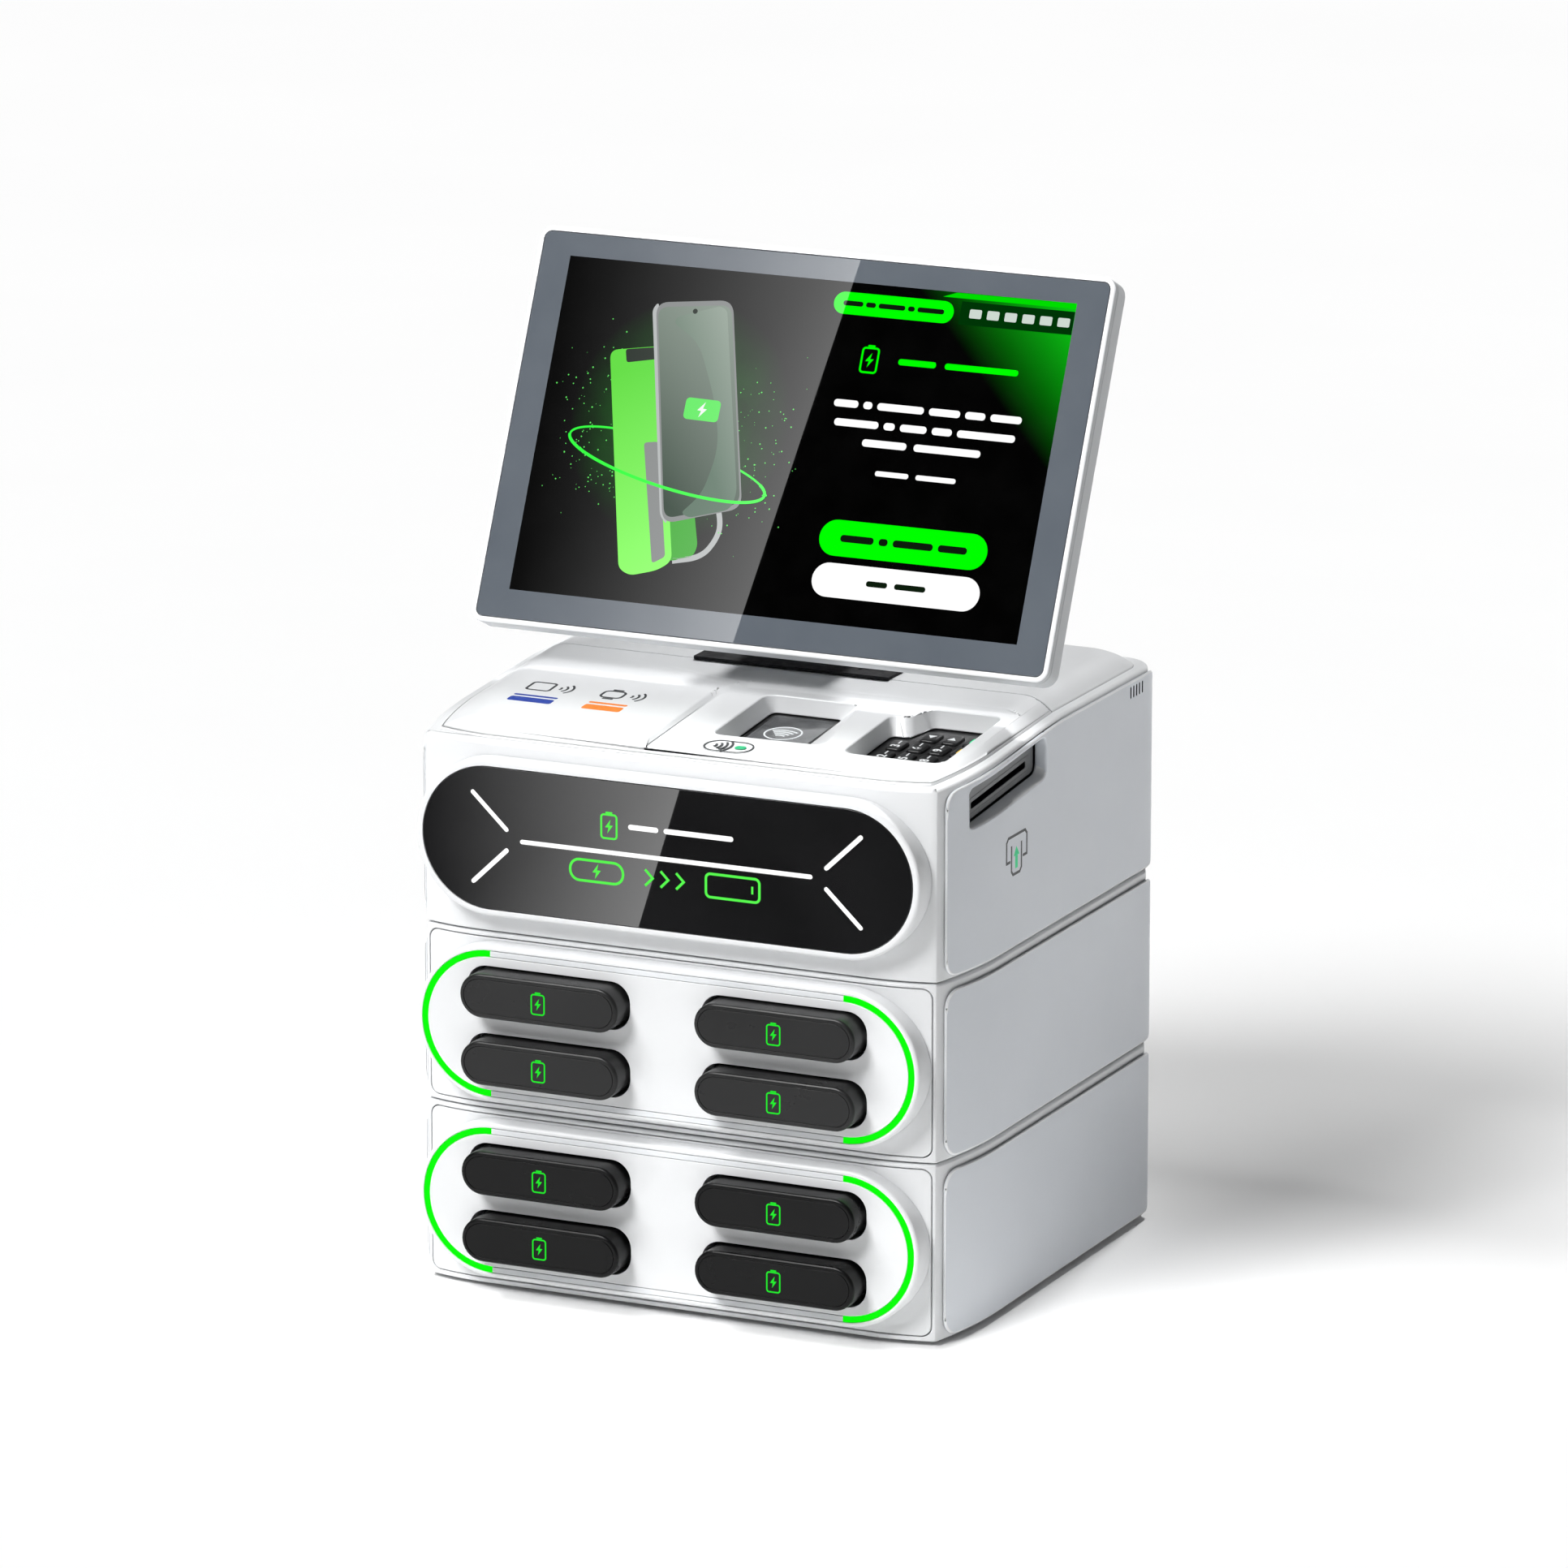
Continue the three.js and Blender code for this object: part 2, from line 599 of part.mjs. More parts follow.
function contactBoard(z) {
  const y0 = CAGE_REAR_Y + GAP;
  const halfWidth = CAGE_HALF_WIDTH - BOARD_INSET;
  const board = box(-halfWidth, halfWidth, y0, y0 + BOARD_THICKNESS,
    z - CAGE_HALF_HEIGHT, z + CAGE_HALF_HEIGHT);
  const connectors = [-1, 1].flatMap((column) =>
    [-1, 1].map((row) => {
      const x = column * BANK_COLUMN;
      const centre = z + row * BANK_ROW;
      return box(x - CONNECTOR_WIDTH / 2, x + CONNECTOR_WIDTH / 2, y0 - CONNECTOR_DEPTH, y0 + 0.5,
        centre - CONNECTOR_HEIGHT / 2, centre + CONNECTOR_HEIGHT / 2);
    }),
  );
  return joinAll([board, ...connectors]);
}

function powerBank(x, z) {
  const ring = (distance, y) =>
    stadium(BANK_WIDTH / 2 - distance, BANK_HEIGHT / 2 - distance, 8).map(([dx, dz]) => [x + dx, y, z + dz]);
  const rear = BANK_FACE_Y + BANK_LENGTH;
  return loft([
    ring(BANK_BEVEL, BANK_FACE_Y),
    ring(0, BANK_FACE_Y + BANK_BEVEL),
    ring(0, rear - BANK_BEVEL),
    ring(BANK_BEVEL, rear),
  ], 1);
}

function addBatteryModule(name, z0) {
  const z = z0 + PILL_HEIGHT;
  place(`${name}_housing`, batteryShell(z0), MATERIALS.white);
  place(`${name}_left_cover`, batteryCover(-1, z0), MATERIALS.coverGrey);
  place(`${name}_right_cover`, batteryCover(1, z0), MATERIALS.coverGrey);
  place(`${name}_front_plate`, frontPlate(z0), MATERIALS.white);
  place(`${name}_pill_bezel`, pillBezel(z), MATERIALS.white);
  place(`${name}_light_ring`, lightRing(z), MATERIALS.green);
  place(`${name}_slot_cage`, slotCage(z), MATERIALS.cage);
  place(`${name}_contact_board`, contactBoard(z), MATERIALS.board);
  for (const [row, rowName] of [[1, "top"], [-1, "bottom"]]) {
    for (const [column, columnName] of [[-1, "left"], [1, "right"]]) {
      const bank = powerBank(column * BANK_COLUMN, z + row * BANK_ROW);
      place(`${name}_power_bank_${rowName}_${columnName}`, bank, MATERIALS.bank);
    }
  }
}

// ---------- head module ----------
function cardMouth(side0, side1, grow) {
  const edge = (x, sill) => [
    [x, MOUTH_Y0 - grow, deckHeight(MOUTH_Y0) - MOUTH_TOP + grow],
    [x, MOUTH_Y1 + grow, deckHeight(MOUTH_Y1) - MOUTH_TOP + grow],
    [x, MOUTH_Y1 + grow, deckHeight(MOUTH_Y1) - sill - grow],
    [x, MOUTH_Y0 - grow, deckHeight(MOUTH_Y0) - sill - grow],
  ];
  const sillInner = grow > 0 ? MOUTH_SILL_OUTER : MOUTH_SILL_INNER;
  return loft([edge(side0, sillInner), edge(side1, MOUTH_SILL_OUTER)], 0);
}

function headShell() {
  const skin = loft([ringAt(BOTTOM_BEVEL, HEAD_Z), ringAt(0, HEAD_Z + BOTTOM_BEVEL), ringAt(0, DECK_REAR_Z)]);
  const [frontEnd, rearEnd, top] = [FRONT_Y - FAR, REAR_Y + FAR, DECK_REAR_Z + FAR];
  const aboveRim = [
    [frontEnd, rimHeight(frontEnd)],
    [SEAM_Y, RIM_REAR_Z],
    [rearEnd, RIM_REAR_Z],
    [rearEnd, top],
    [frontEnd, top],
  ];
  const shoulder = rimHeight(FRONT_Y) - SHOULDER_DROP;
  return cutAll(skin, [
    prismZ(inset(WALL), HEAD_Z + TOP_PLATE, shoulder),
    prismZ(inset(DECK_INSET - 0.4), shoulder - 0.5, top),
    prismX(aboveRim, -HALF_WIDTH - OVER, HALF_WIDTH + OVER),
    cylinderZ(0, CABLE_HOLE_Y, HEAD_Z - OVER, HEAD_Z + TOP_PLATE + OVER, CABLE_HOLE_RADIUS),
    cardMouth(MOUTH_INNER_X - 2 * MOUTH_WALL, MOUTH_OUTER_X, MOUTH_WALL + 0.4),
    inletOpening(0.4),
  ]);
}

function headCover(side) {
  const low = HEAD_Z + COVER_BELOW;
  const topAt = (y) => HEAD_COVER_REAR_Z + HEAD_COVER_SLOPE * Math.min(0, y - COVER_BEND_Y);
  const corners = [
    [COVER_FRONT_Y, low],
    [COVER_REAR_Y, low],
    [COVER_REAR_Y, topAt(COVER_REAR_Y)],
    [COVER_BEND_Y, topAt(COVER_BEND_Y)],
    [COVER_FRONT_Y, topAt(COVER_FRONT_Y)],
  ];
  const sheet = sideCover(side, roundCorners(corners, COVER_CORNER, 4));
  const vents = Array.from({ length: VENT_COUNT }, (_, i) => {
    const x = side * HALF_WIDTH;
    const y = VENT_FIRST_Y + i * VENT_PITCH - VENT_WIDTH / 2;
    return box(x - FRONT_REACH, x + FRONT_REACH, y, y + VENT_WIDTH, VENT_Z0, VENT_Z1);
  });
  if (side < 0) return cutAll(sheet, vents);
  const liner = cardMouth(MOUTH_INNER_X, HALF_WIDTH + COVER_THICKNESS - GAP, MOUTH_WALL);
  const outside = prismZ(inset(-GAP - COVER_THICKNESS), HEAD_Z, DECK_REAR_Z + OVER);
  const hollow = cardMouth(MOUTH_INNER_X - OVER, MOUTH_OUTER_X, 0);
  return cutAll(sheet.add(liner.intersect(outside)), [...vents, hollow]);
}

// One half of the deck: skin that crowns up from the rim to the deck's plane, hollow underneath.
function deckBlank(rim, deck) {
  const ring = (distance, height) => inset(DECK_INSET + distance).map(([x, y]) => [x, y, height(y)]);
  const crown = DECK_CROWN.map(([distance, share, lift]) =>
    ring(distance, (y) => (1 - share) * rim(y) + share * deck(y) + lift),
  );
  const outer = loft([ring(0, (y) => rim(y) - DECK_SKIRT), ...crown]);
  const crownWidth = DECK_CROWN.at(-1)[0];
  const inner = loft([
    ring(DECK_WALL, (y) => rim(y) - DECK_SKIRT - OVER),
    ring(DECK_WALL, (y) => rim(y) - DECK_SKIRT / 2),
    ring(crownWidth + 2, (y) => deck(y) - DECK_THICKNESS),
  ]);
  return outer.subtract(inner);
}

// plans of the lowered platform and of the two windows, at their top and at their foot
const PLATFORM = [[-17, -140], [140, -140], [140, -4], [-10, -8], [-17, -20]];
const DISPLAY_WINDOW_TOP = [[1, -66.5], [51.5, -65], [44, -13], [1, -13]];
const DISPLAY_WINDOW_FOOT = [[4.6, -63], [36, -63], [36, -13.6], [4.6, -13.6]];
const KEY_WINDOW_TOP = [[61.5, -71], [106.4, -71], [106.4, -8.5], [74, -8.5], [69.5, -21.5], [61.5, -21.5]];
const KEY_WINDOW_FOOT = [[63.8, -58], [106, -58], [106, -10.6], [76, -10.6], [72, -25.6], [63.8, -25.6]];
const WELL_FOOT_DROP = TERMINAL_DROP - 0.4;

// A window that narrows downwards; grow makes the block that its walls are cut from.
function windowWell(top, foot, grow, topDrop, footDrop) {
  const mean = (values) => values.reduce((sum, value) => sum + value, 0) / values.length;
  const widen = (points) => {
    const cx = mean(points.map(([x]) => x));
    const cy = mean(points.map(([, y]) => y));
    return points.map(([x, y]) => [x + grow * Math.sign(x - cx), y + grow * Math.sign(y - cy)]);
  };
  const ring = (points, drop) =>
    roundCorners(widen(points), WELL_CORNER, 3).map(([x, y]) => [x, y, deckHeight(y) - drop]);
  return loft([ring(foot, footDrop), ring(top, topDrop)]);
}

// Block that keeps the part of the deck between two y planes.
const deckHalf = (y0, y1) =>
  box(-HALF_WIDTH, HALF_WIDTH, y0, y1, DECK_REAR_Z - FAR, DECK_REAR_Z + OVER);

function deckFront() {
  const rim = (y) => RIM_REAR_Z + RIM_SLOPE * (y - SEAM_Y);
  const deck = (y) => DECK_REAR_Z + DECK_SLOPE * (y - SEAM_Y);
  const blank = deckBlank(rim, deck).intersect(deckHalf(FRONT_Y - OVER, SEAM_Y - SEAM_HALF));
  const platform = slopedPrism(roundCorners(PLATFORM, PLATFORM_CORNER, 5), (y) => deck(y) - PLATFORM_DEPTH,
    (y) => deck(y) + OVER);
  const windows = [
    [DISPLAY_WINDOW_TOP, DISPLAY_WINDOW_FOOT],
    [KEY_WINDOW_TOP, KEY_WINDOW_FOOT],
  ];
  const wells = windows.map(([top, foot]) =>
    windowWell(top, foot, WELL_WALL, PLATFORM_DEPTH + 1, WELL_FOOT_DROP),
  );
  const openings = windows.map(([top, foot]) =>
    windowWell(top, foot, 0, PLATFORM_DEPTH - 0.1, WELL_FOOT_DROP + 0.1),
  );
  return cutAll(joinAll([blank.subtract(platform), ...wells]), openings);
}

function deckRear() {
  const blank = deckBlank(() => RIM_REAR_Z, () => DECK_REAR_Z);
  const { halfWidth, y0, y1 } = CABLE_PASS;
  const cablePass = box(-halfWidth, halfWidth, y0, y1, DECK_REAR_Z - FAR, DECK_REAR_Z + OVER);
  return blank.intersect(deckHalf(SEAM_Y + SEAM_HALF, REAR_Y + OVER)).subtract(cablePass);
}

function headPillBezel() {
  const depth = PANEL_THICKNESS + BAR_BACKING + 2 * GAP;
  const pocket = pillPrism(PANEL_HALF_LENGTH + GAP, PANEL_RADIUS + GAP, HEAD_PILL_Z, PILL_FACE_Y - OVER,
    PILL_FACE_Y + depth);
  return pillBlank(HEAD_PILL_Z).subtract(pocket);
}

// The five bars of light: one along the middle and a diagonal in each corner, as stadium prisms.
function lightBarPrisms(width, y0, y1) {
  const diagonals = [-1, 1].flatMap((sx) =>
    [-1, 1].map((sz) => [
      [sx * BAR_DIAGONAL_INNER[0], sz * BAR_DIAGONAL_INNER[1]],
      [sx * BAR_DIAGONAL_OUTER[0], sz * BAR_DIAGONAL_OUTER[1]],
    ]),
  );
  const lines = [[[-BAR_CENTRE_HALF, 0], [BAR_CENTRE_HALF, 0]], ...diagonals];
  return lines.map(([from, to]) => {
    const start = new THREE.Vector2(...from);
    const along = new THREE.Vector2(...to).sub(start);
    const middle = start.clone().addScaledVector(along, 0.5);
    const outline = stadium(along.length() / 2 + width / 2, width / 2, 4).map(([x, z]) => {
      const turned = new THREE.Vector2(x, z).rotateAround(new THREE.Vector2(), along.angle());
      return [turned.x + middle.x, turned.y + middle.y + HEAD_PILL_Z];
    });
    return prismY(outline, y0, y1);
  });
}

function blackPanel() {
  const rear = PILL_FACE_Y + PANEL_THICKNESS;
  const panel = pillPrism(PANEL_HALF_LENGTH, PANEL_RADIUS, HEAD_PILL_Z, PILL_FACE_Y, rear);
  return cutAll(panel, lightBarPrisms(BAR_WIDTH + 2 * GAP, PILL_FACE_Y - OVER, rear + OVER));
}

function lightBars() {
  const y0 = PILL_FACE_Y + PANEL_THICKNESS + GAP;
  const backing = pillPrism(PANEL_HALF_LENGTH - BACKING_INSET, PANEL_RADIUS - BACKING_INSET, HEAD_PILL_Z,
    y0, y0 + BAR_BACKING);
  return joinAll([backing, ...lightBarPrisms(BAR_WIDTH, PILL_FACE_Y, y0 + GAP)]);
}

function powerSupply() {
  const z0 = HEAD_Z + TOP_PLATE + GAP;
  const { x0, x1, y0, y1, height } = SUPPLY;
  const top = z0 + height;
  const grooves = Array.from({ length: GROOVES.count }, (_, i) => {
    const x = x0 + SUPPLY_MARGIN + i * GROOVES.pitch;
    return box(x, x + GROOVES.width, y0 + SUPPLY_MARGIN, y1 - SUPPLY_MARGIN, top - GROOVES.depth, top + OVER);
  });
  return cutAll(box(x0, x1, y0, y1, z0, top), grooves);
}

function controlBoard() {
  const z0 = HEAD_Z + TOP_PLATE + GAP;
  const { x0, x1, y0, y1, above } = CONTROL;
  const boardZ = z0 + above;
  const legs = [x0 + LEG_INSET, x1 - LEG_INSET].flatMap((x) =>
    [y0 + LEG_INSET, y1 - LEG_INSET].map((y) => cylinderZ(x, y, z0, boardZ + 1, LEG_RADIUS, 8)),
  );
  const board = box(x0, x1, y0, y1, boardZ, boardZ + BOARD_THICKNESS);
  const components = COMPONENTS.map(([left, right, front, rear, height]) =>
    box(left, right, front, rear, boardZ + 1, boardZ + BOARD_THICKNESS + height),
  );
  return joinAll([board, ...legs, ...components]);
}

// Rounded rectangle round the middle of the mains inlet.
const inletOutline = (halfWidth, halfHeight, corner) =>
  shifted(roundedRect(-halfWidth, halfWidth, -halfHeight, halfHeight, corner), INLET.x, INLET.z);

const inletOpening = (grow) =>
  prismY(inletOutline(INLET.halfWidth + grow, INLET.halfHeight + grow, INLET.corner), REAR_Y - 2 * WALL,
    REAR_Y + OVER);

function powerInlet() {
  const front = prismY(inletOutline(INLET.halfWidth, INLET.halfHeight, INLET.corner), REAR_Y - INLET.depth,
    REAR_Y - 0.2);
  const flange = prismY(inletOutline(INLET_FLANGE.halfWidth, INLET_FLANGE.halfHeight, INLET.corner),
    REAR_Y - 2 * WALL - GAP, REAR_Y - WALL - GAP);
  const cavity = prismY(inletOutline(INLET_CAVITY.halfWidth, INLET_CAVITY.halfHeight, INLET_CAVITY.corner),
    REAR_Y - INLET_CAVITY.depth, REAR_Y + OVER);
  const { halfWidth, halfHeight, tip } = INLET_PIN;
  const pins = INLET_PINS.map(([dx, dz]) => {
    const x = INLET.x + dx;
    const z = INLET.z + dz;
    return box(x - halfWidth, x + halfWidth, REAR_Y - INLET_CAVITY.depth - 1, REAR_Y - tip, z - halfHeight,
      z + halfHeight);
  });
  return joinAll([front.add(flange).subtract(cavity), ...pins]);
}

function gasket() {
  const z0 = DECK_REAR_Z + GAP;
  const top = z0 + GASKET_THICKNESS;
  const { x0, x1, y0, y1 } = GASKET_POCKET;
  const pad = box(-GASKET_HALF, GASKET_HALF, GASKET_Y0, GASKET_Y1, z0, top);
  return pad.subtract(box(x0, x1, y0, y1, z0 - OVER, top + OVER));
}

function addHead() {
  place("head_housing", headShell(), MATERIALS.white);
  place("head_left_cover", headCover(-1), MATERIALS.coverGrey);
  place("head_right_cover", headCover(1), MATERIALS.coverGrey);
  place("deck_front", deckFront(), MATERIALS.white);
  place("deck_rear", deckRear(), MATERIALS.white);
  place("head_pill_bezel", headPillBezel(), MATERIALS.white);
  place("head_black_panel", blackPanel(), MATERIALS.glossBlack);
  place("head_light_bars", lightBars(), MATERIALS.lightWhite);
  place("power_supply", powerSupply(), MATERIALS.aluminium);
  place("control_board", controlBoard(), MATERIALS.board);
  place("power_inlet", powerInlet(), MATERIALS.black);
  place("stand_gasket", gasket(), MATERIALS.rubber);
}

// ---------- payment terminal ----------
const KEYS = [
  ["key_2", 0, 0],
  ["key_5", 1, 0],
  ["key_8", 2, 0],
  ["key_0", 3, 0],
  ["key_3", 0, 1],
  ["key_6", 1, 1],
  ["key_9", 2, 1],
  ["key_yellow", 3, 1],
  ["key_down", 1, 2],
  ["key_up", 2, 2],
  ["key_green", 3, 2],
];

const keyOutline = (column, row, grow) =>
  shifted(
    roundedRect(-KEY_WIDTH / 2 - grow, KEY_WIDTH / 2 + grow, -KEY_LENGTH / 2 - grow, KEY_LENGTH / 2 + grow,
      KEY_CORNER + grow, 2),
    KEY_COLUMNS[column],
    KEY_ROWS[row],
  );

function terminalBody() {
  const half = TERMINAL_WIDTH / 2;
  const outline = (distance, z) => {
    const reach = half - distance;
    return roundedRect(TERMINAL_X0 + distance, TERMINAL_X1 - distance, -reach, reach, TERMINAL_CORNER)
      .map(([x, y]) => [x, y, z]);
  };
  const block = loft([
    outline(TERMINAL_FOOT_BEVEL, -TERMINAL_HEIGHT),
    outline(0, -TERMINAL_HEIGHT + TERMINAL_FOOT_BEVEL),
    outline(0, -TERMINAL_FACE_BEVEL),
    outline(TERMINAL_FACE_BEVEL, 0),
  ]);
  const display = roundedRect(DISPLAY_X0 - GAP, DISPLAY_X1 + GAP, DISPLAY_Y0 - GAP, DISPLAY_Y1 + GAP,
    DISPLAY_CORNER + GAP);
  const slotHalf = CARD_SLOT_WIDTH / 2;
  return cutAll(block, [
    prismZ(display, DISPLAY_PROUD - DISPLAY_THICKNESS - GAP, OVER),
    ...KEYS.map(([, column, row]) => prismZ(keyOutline(column, row, GAP), -KEY_POCKET, OVER)),
    box(TERMINAL_X1 - CARD_SLOT_DEPTH, TERMINAL_X1 + OVER, -slotHalf, slotHalf,
      -CARD_SLOT_DROP - CARD_SLOT_HEIGHT, -CARD_SLOT_DROP),
  ]);
}

function terminalKey(column, row) {
  const ring = (grow, z) => keyOutline(column, row, grow).map(([x, y]) => [x, y, z]);
  return loft([ring(0, -KEY_BELOW), ring(0, KEY_ABOVE - 0.4), ring(-0.5, KEY_ABOVE)]);
}

function addTerminal() {
  const terminal = new THREE.Group();
  terminal.position.set(0, TERMINAL_Y, deckHeight(TERMINAL_Y) - TERMINAL_DROP);
  terminal.rotation.x = TERMINAL_TILT;
  kiosk.add(terminal);
  place("terminal_body", terminalBody(), MATERIALS.black, terminal);
  const display = prismZ(roundedRect(DISPLAY_X0, DISPLAY_X1, DISPLAY_Y0, DISPLAY_Y1, DISPLAY_CORNER),
    DISPLAY_PROUD - DISPLAY_THICKNESS, DISPLAY_PROUD);
  place("terminal_display", display, MATERIALS.glossBlack, terminal);
  for (const [name, column, row] of KEYS) {
    place(`terminal_${name}`, terminalKey(column, row), MATERIALS.black, terminal);
  }
}

// ---------- screen and stand ----------
const screenPlate = (width, height, corner, y0, y1) =>
  prismY(roundedRect(-width / 2, width / 2, -height / 2, height / 2, corner, 4), y0, y1);

const SCREEN_WIDTH = GLASS_WIDTH + 2 * RIM;
const SCREEN_HEIGHT = GLASS_HEIGHT + 2 * RIM;
const SCREEN_CORNER = GLASS_CORNER + RIM;

function screenFrame() {
  const ring = (distance, y) =>
    roundedRect(-SCREEN_WIDTH / 2 + distance, SCREEN_WIDTH / 2 - distance,
      -SCREEN_HEIGHT / 2 + distance, SCREEN_HEIGHT / 2 - distance, SCREEN_CORNER - distance, 4)
      .map(([x, z]) => [x, y, z]);
  const blank = loft([ring(0.6, 0), ring(0, 0.6), ring(0, FRAME_DEPTH)], 1);
  return cutAll(blank, [
    screenPlate(GLASS_WIDTH + 2 * GAP, GLASS_HEIGHT + 2 * GAP, GLASS_CORNER, -OVER, GLASS_THICKNESS + GAP),
    screenPlate(LEDGE_WIDTH, LEDGE_HEIGHT, 2, -OVER, FRAME_DEPTH + OVER),
  ]);
}

function screenRearShell() {
  const ring = (distance, y) =>
    roundedRect(-SCREEN_WIDTH / 2 + distance, SCREEN_WIDTH / 2 - distance,
      -SCREEN_HEIGHT / 2 + distance, SCREEN_HEIGHT / 2 - distance, SCREEN_CORNER, 4)
      .map(([x, z]) => [x, y, z]);
  const front = FRAME_DEPTH + GAP;
  const blank = loft([
    ring(0, front),
    ring(0, SCREEN_DEPTH - SCREEN_BACK_BEVEL),
    ring(0.8, SCREEN_DEPTH - 0.8),
    ring(SCREEN_BACK_BEVEL, SCREEN_DEPTH),
  ], 1);
  const hollow = screenPlate(SCREEN_WIDTH - 2 * SCREEN_WALL, SCREEN_HEIGHT - 2 * SCREEN_WALL,
    SCREEN_CORNER - SCREEN_WALL, front - OVER, SCREEN_DEPTH - SCREEN_WALL);
  const lugs = [-1, 1].map((side) => {
    const [x0, x1] = [side * LUG_INNER, side * LUG_OUTER].sort((a, b) => a - b);
    const foot = box(x0, x1, SCREEN_DEPTH - 1, HINGE_LOCAL_Y, HINGE_LOCAL_Z - KNUCKLE_RADIUS,
      HINGE_LOCAL_Z + KNUCKLE_RADIUS);
    return foot.add(cylinderX(x0, x1, HINGE_LOCAL_Y, HINGE_LOCAL_Z, KNUCKLE_RADIUS));
  });
  const bore = cylinderX(-BORE_HALF, BORE_HALF, HINGE_LOCAL_Y, HINGE_LOCAL_Z, PIN_RADIUS + GAP);
  const { width, height, corner, z } = SCREEN_CABLE_PASS;
  const cablePass = screenPlate(width, height, corner, SCREEN_DEPTH - SCREEN_WALL - OVER, SCREEN_DEPTH + OVER);
  return cutAll(joinAll([blank.subtract(hollow), ...lugs]), [bore, cablePass.translate(0, 0, z)]);
}

// Hinge axis in the kiosk's frame.
function hingeAxis() {
  const point = new THREE.Vector3(0, HINGE_LOCAL_Y, HINGE_LOCAL_Z);
  point.applyAxisAngle(new THREE.Vector3(1, 0, 0), -SCREEN_TILT);
  return [SCREEN_Y + point.y, SCREEN_Z + point.z];
}

function standArm() {
  const [hingeY, hingeZ] = hingeAxis();
  const z0 = DECK_REAR_Z + GAP;
  const base = prismZ(roundedRect(-STAND_BASE_HALF, STAND_BASE_HALF, STAND_BASE_Y0, STAND_BASE_Y1, 8, 4),
    z0, z0 + STAND_BASE_THICKNESS);
  const neckFoot = [STAND_BASE_Y0 + STAND_NECK_Y, z0 + 1];
  const along = new THREE.Vector2(hingeY - neckFoot[0], hingeZ - neckFoot[1]).normalize();
  const across = new THREE.Vector2(-along.y, along.x).multiplyScalar(STAND_NECK / 2);
  const neck = prismX([
    [neckFoot[0] + across.x, neckFoot[1] + across.y],
    [neckFoot[0] - across.x, neckFoot[1] - across.y],
    [hingeY - across.x, hingeZ - across.y],
    [hingeY + across.x, hingeZ + across.y],
  ], -KNUCKLE_HALF, KNUCKLE_HALF);
  const under = box(-BORE_HALF, BORE_HALF, FRONT_Y, REAR_Y, z0 - FAR, z0 + 0.5);
  const clipped = neck.subtract(under);
  const knuckle = cylinderX(-KNUCKLE_HALF, KNUCKLE_HALF, hingeY, hingeZ, KNUCKLE_RADIUS);
  const bore = cylinderX(-BORE_HALF, BORE_HALF, hingeY, hingeZ, PIN_RADIUS + GAP);
  return joinAll([base, clipped, knuckle]).subtract(bore);
}

function addScreen() {
  const screen = new THREE.Group();
  screen.position.set(0, SCREEN_Y, SCREEN_Z);
  screen.rotation.x = -SCREEN_TILT;
  kiosk.add(screen);
  place("screen_frame", screenFrame(), MATERIALS.white, screen);
  place("screen_glass", screenPlate(GLASS_WIDTH, GLASS_HEIGHT, GLASS_CORNER - 0.3, 0, GLASS_THICKNESS),
    MATERIALS.glass, screen);
  place("screen_lcd_panel",
    screenPlate(LCD_WIDTH, LCD_HEIGHT, 1, GLASS_THICKNESS + GAP, GLASS_THICKNESS + GAP + LCD_THICKNESS),
    MATERIALS.glossBlack, screen);
  place("screen_rear_shell", screenRearShell(), MATERIALS.white, screen);
  const [hingeY, hingeZ] = hingeAxis();
  place("hinge_pin", cylinderX(-PIN_HALF, PIN_HALF, hingeY, hingeZ, PIN_RADIUS, 16), MATERIALS.steel);
  place("stand_arm", standArm(), MATERIALS.white);
}

addBase();
addBatteryModule("lower", BASE_Z);
addBatteryModule("upper", BASE_Z + MODULE_PITCH);
addHead();
addTerminal();
addScreen();

export default kiosk;
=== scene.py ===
"""Looks of the phone charging kiosk: shells, light rings, deck, screen picture, marks, materials and light.

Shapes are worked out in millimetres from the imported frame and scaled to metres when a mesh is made.
"""
import math
import random

import bmesh
import bpy
import numpy as np
from mathutils import Matrix, Vector


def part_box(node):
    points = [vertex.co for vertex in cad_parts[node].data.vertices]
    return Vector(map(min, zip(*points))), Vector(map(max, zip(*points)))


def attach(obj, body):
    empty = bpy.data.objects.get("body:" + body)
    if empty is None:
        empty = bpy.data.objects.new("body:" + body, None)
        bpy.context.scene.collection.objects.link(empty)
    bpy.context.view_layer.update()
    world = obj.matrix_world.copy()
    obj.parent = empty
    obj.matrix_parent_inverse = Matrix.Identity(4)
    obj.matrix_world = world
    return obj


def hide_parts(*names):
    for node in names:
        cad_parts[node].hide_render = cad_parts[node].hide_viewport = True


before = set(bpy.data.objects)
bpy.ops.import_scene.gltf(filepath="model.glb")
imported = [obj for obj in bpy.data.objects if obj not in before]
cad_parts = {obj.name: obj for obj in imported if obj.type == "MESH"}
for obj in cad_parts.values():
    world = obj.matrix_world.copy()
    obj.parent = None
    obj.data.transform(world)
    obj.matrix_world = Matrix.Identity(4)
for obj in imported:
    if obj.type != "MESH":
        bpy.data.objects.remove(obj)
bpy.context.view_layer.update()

MM = 0.001

# ---------- camera ----------
CAMERA_PLACE = Vector((1.74438, -3.72856, 1.26903))
CAMERA_AZIMUTH = math.radians(25.035)
CAMERA_ELEVATION = math.radians(14.53)
CAMERA_LENS = 234.9


def place(name, data):
    """Adds an object with this data to the scene."""
    obj = bpy.data.objects.new(name, data)
    bpy.context.scene.collection.objects.link(obj)
    return obj


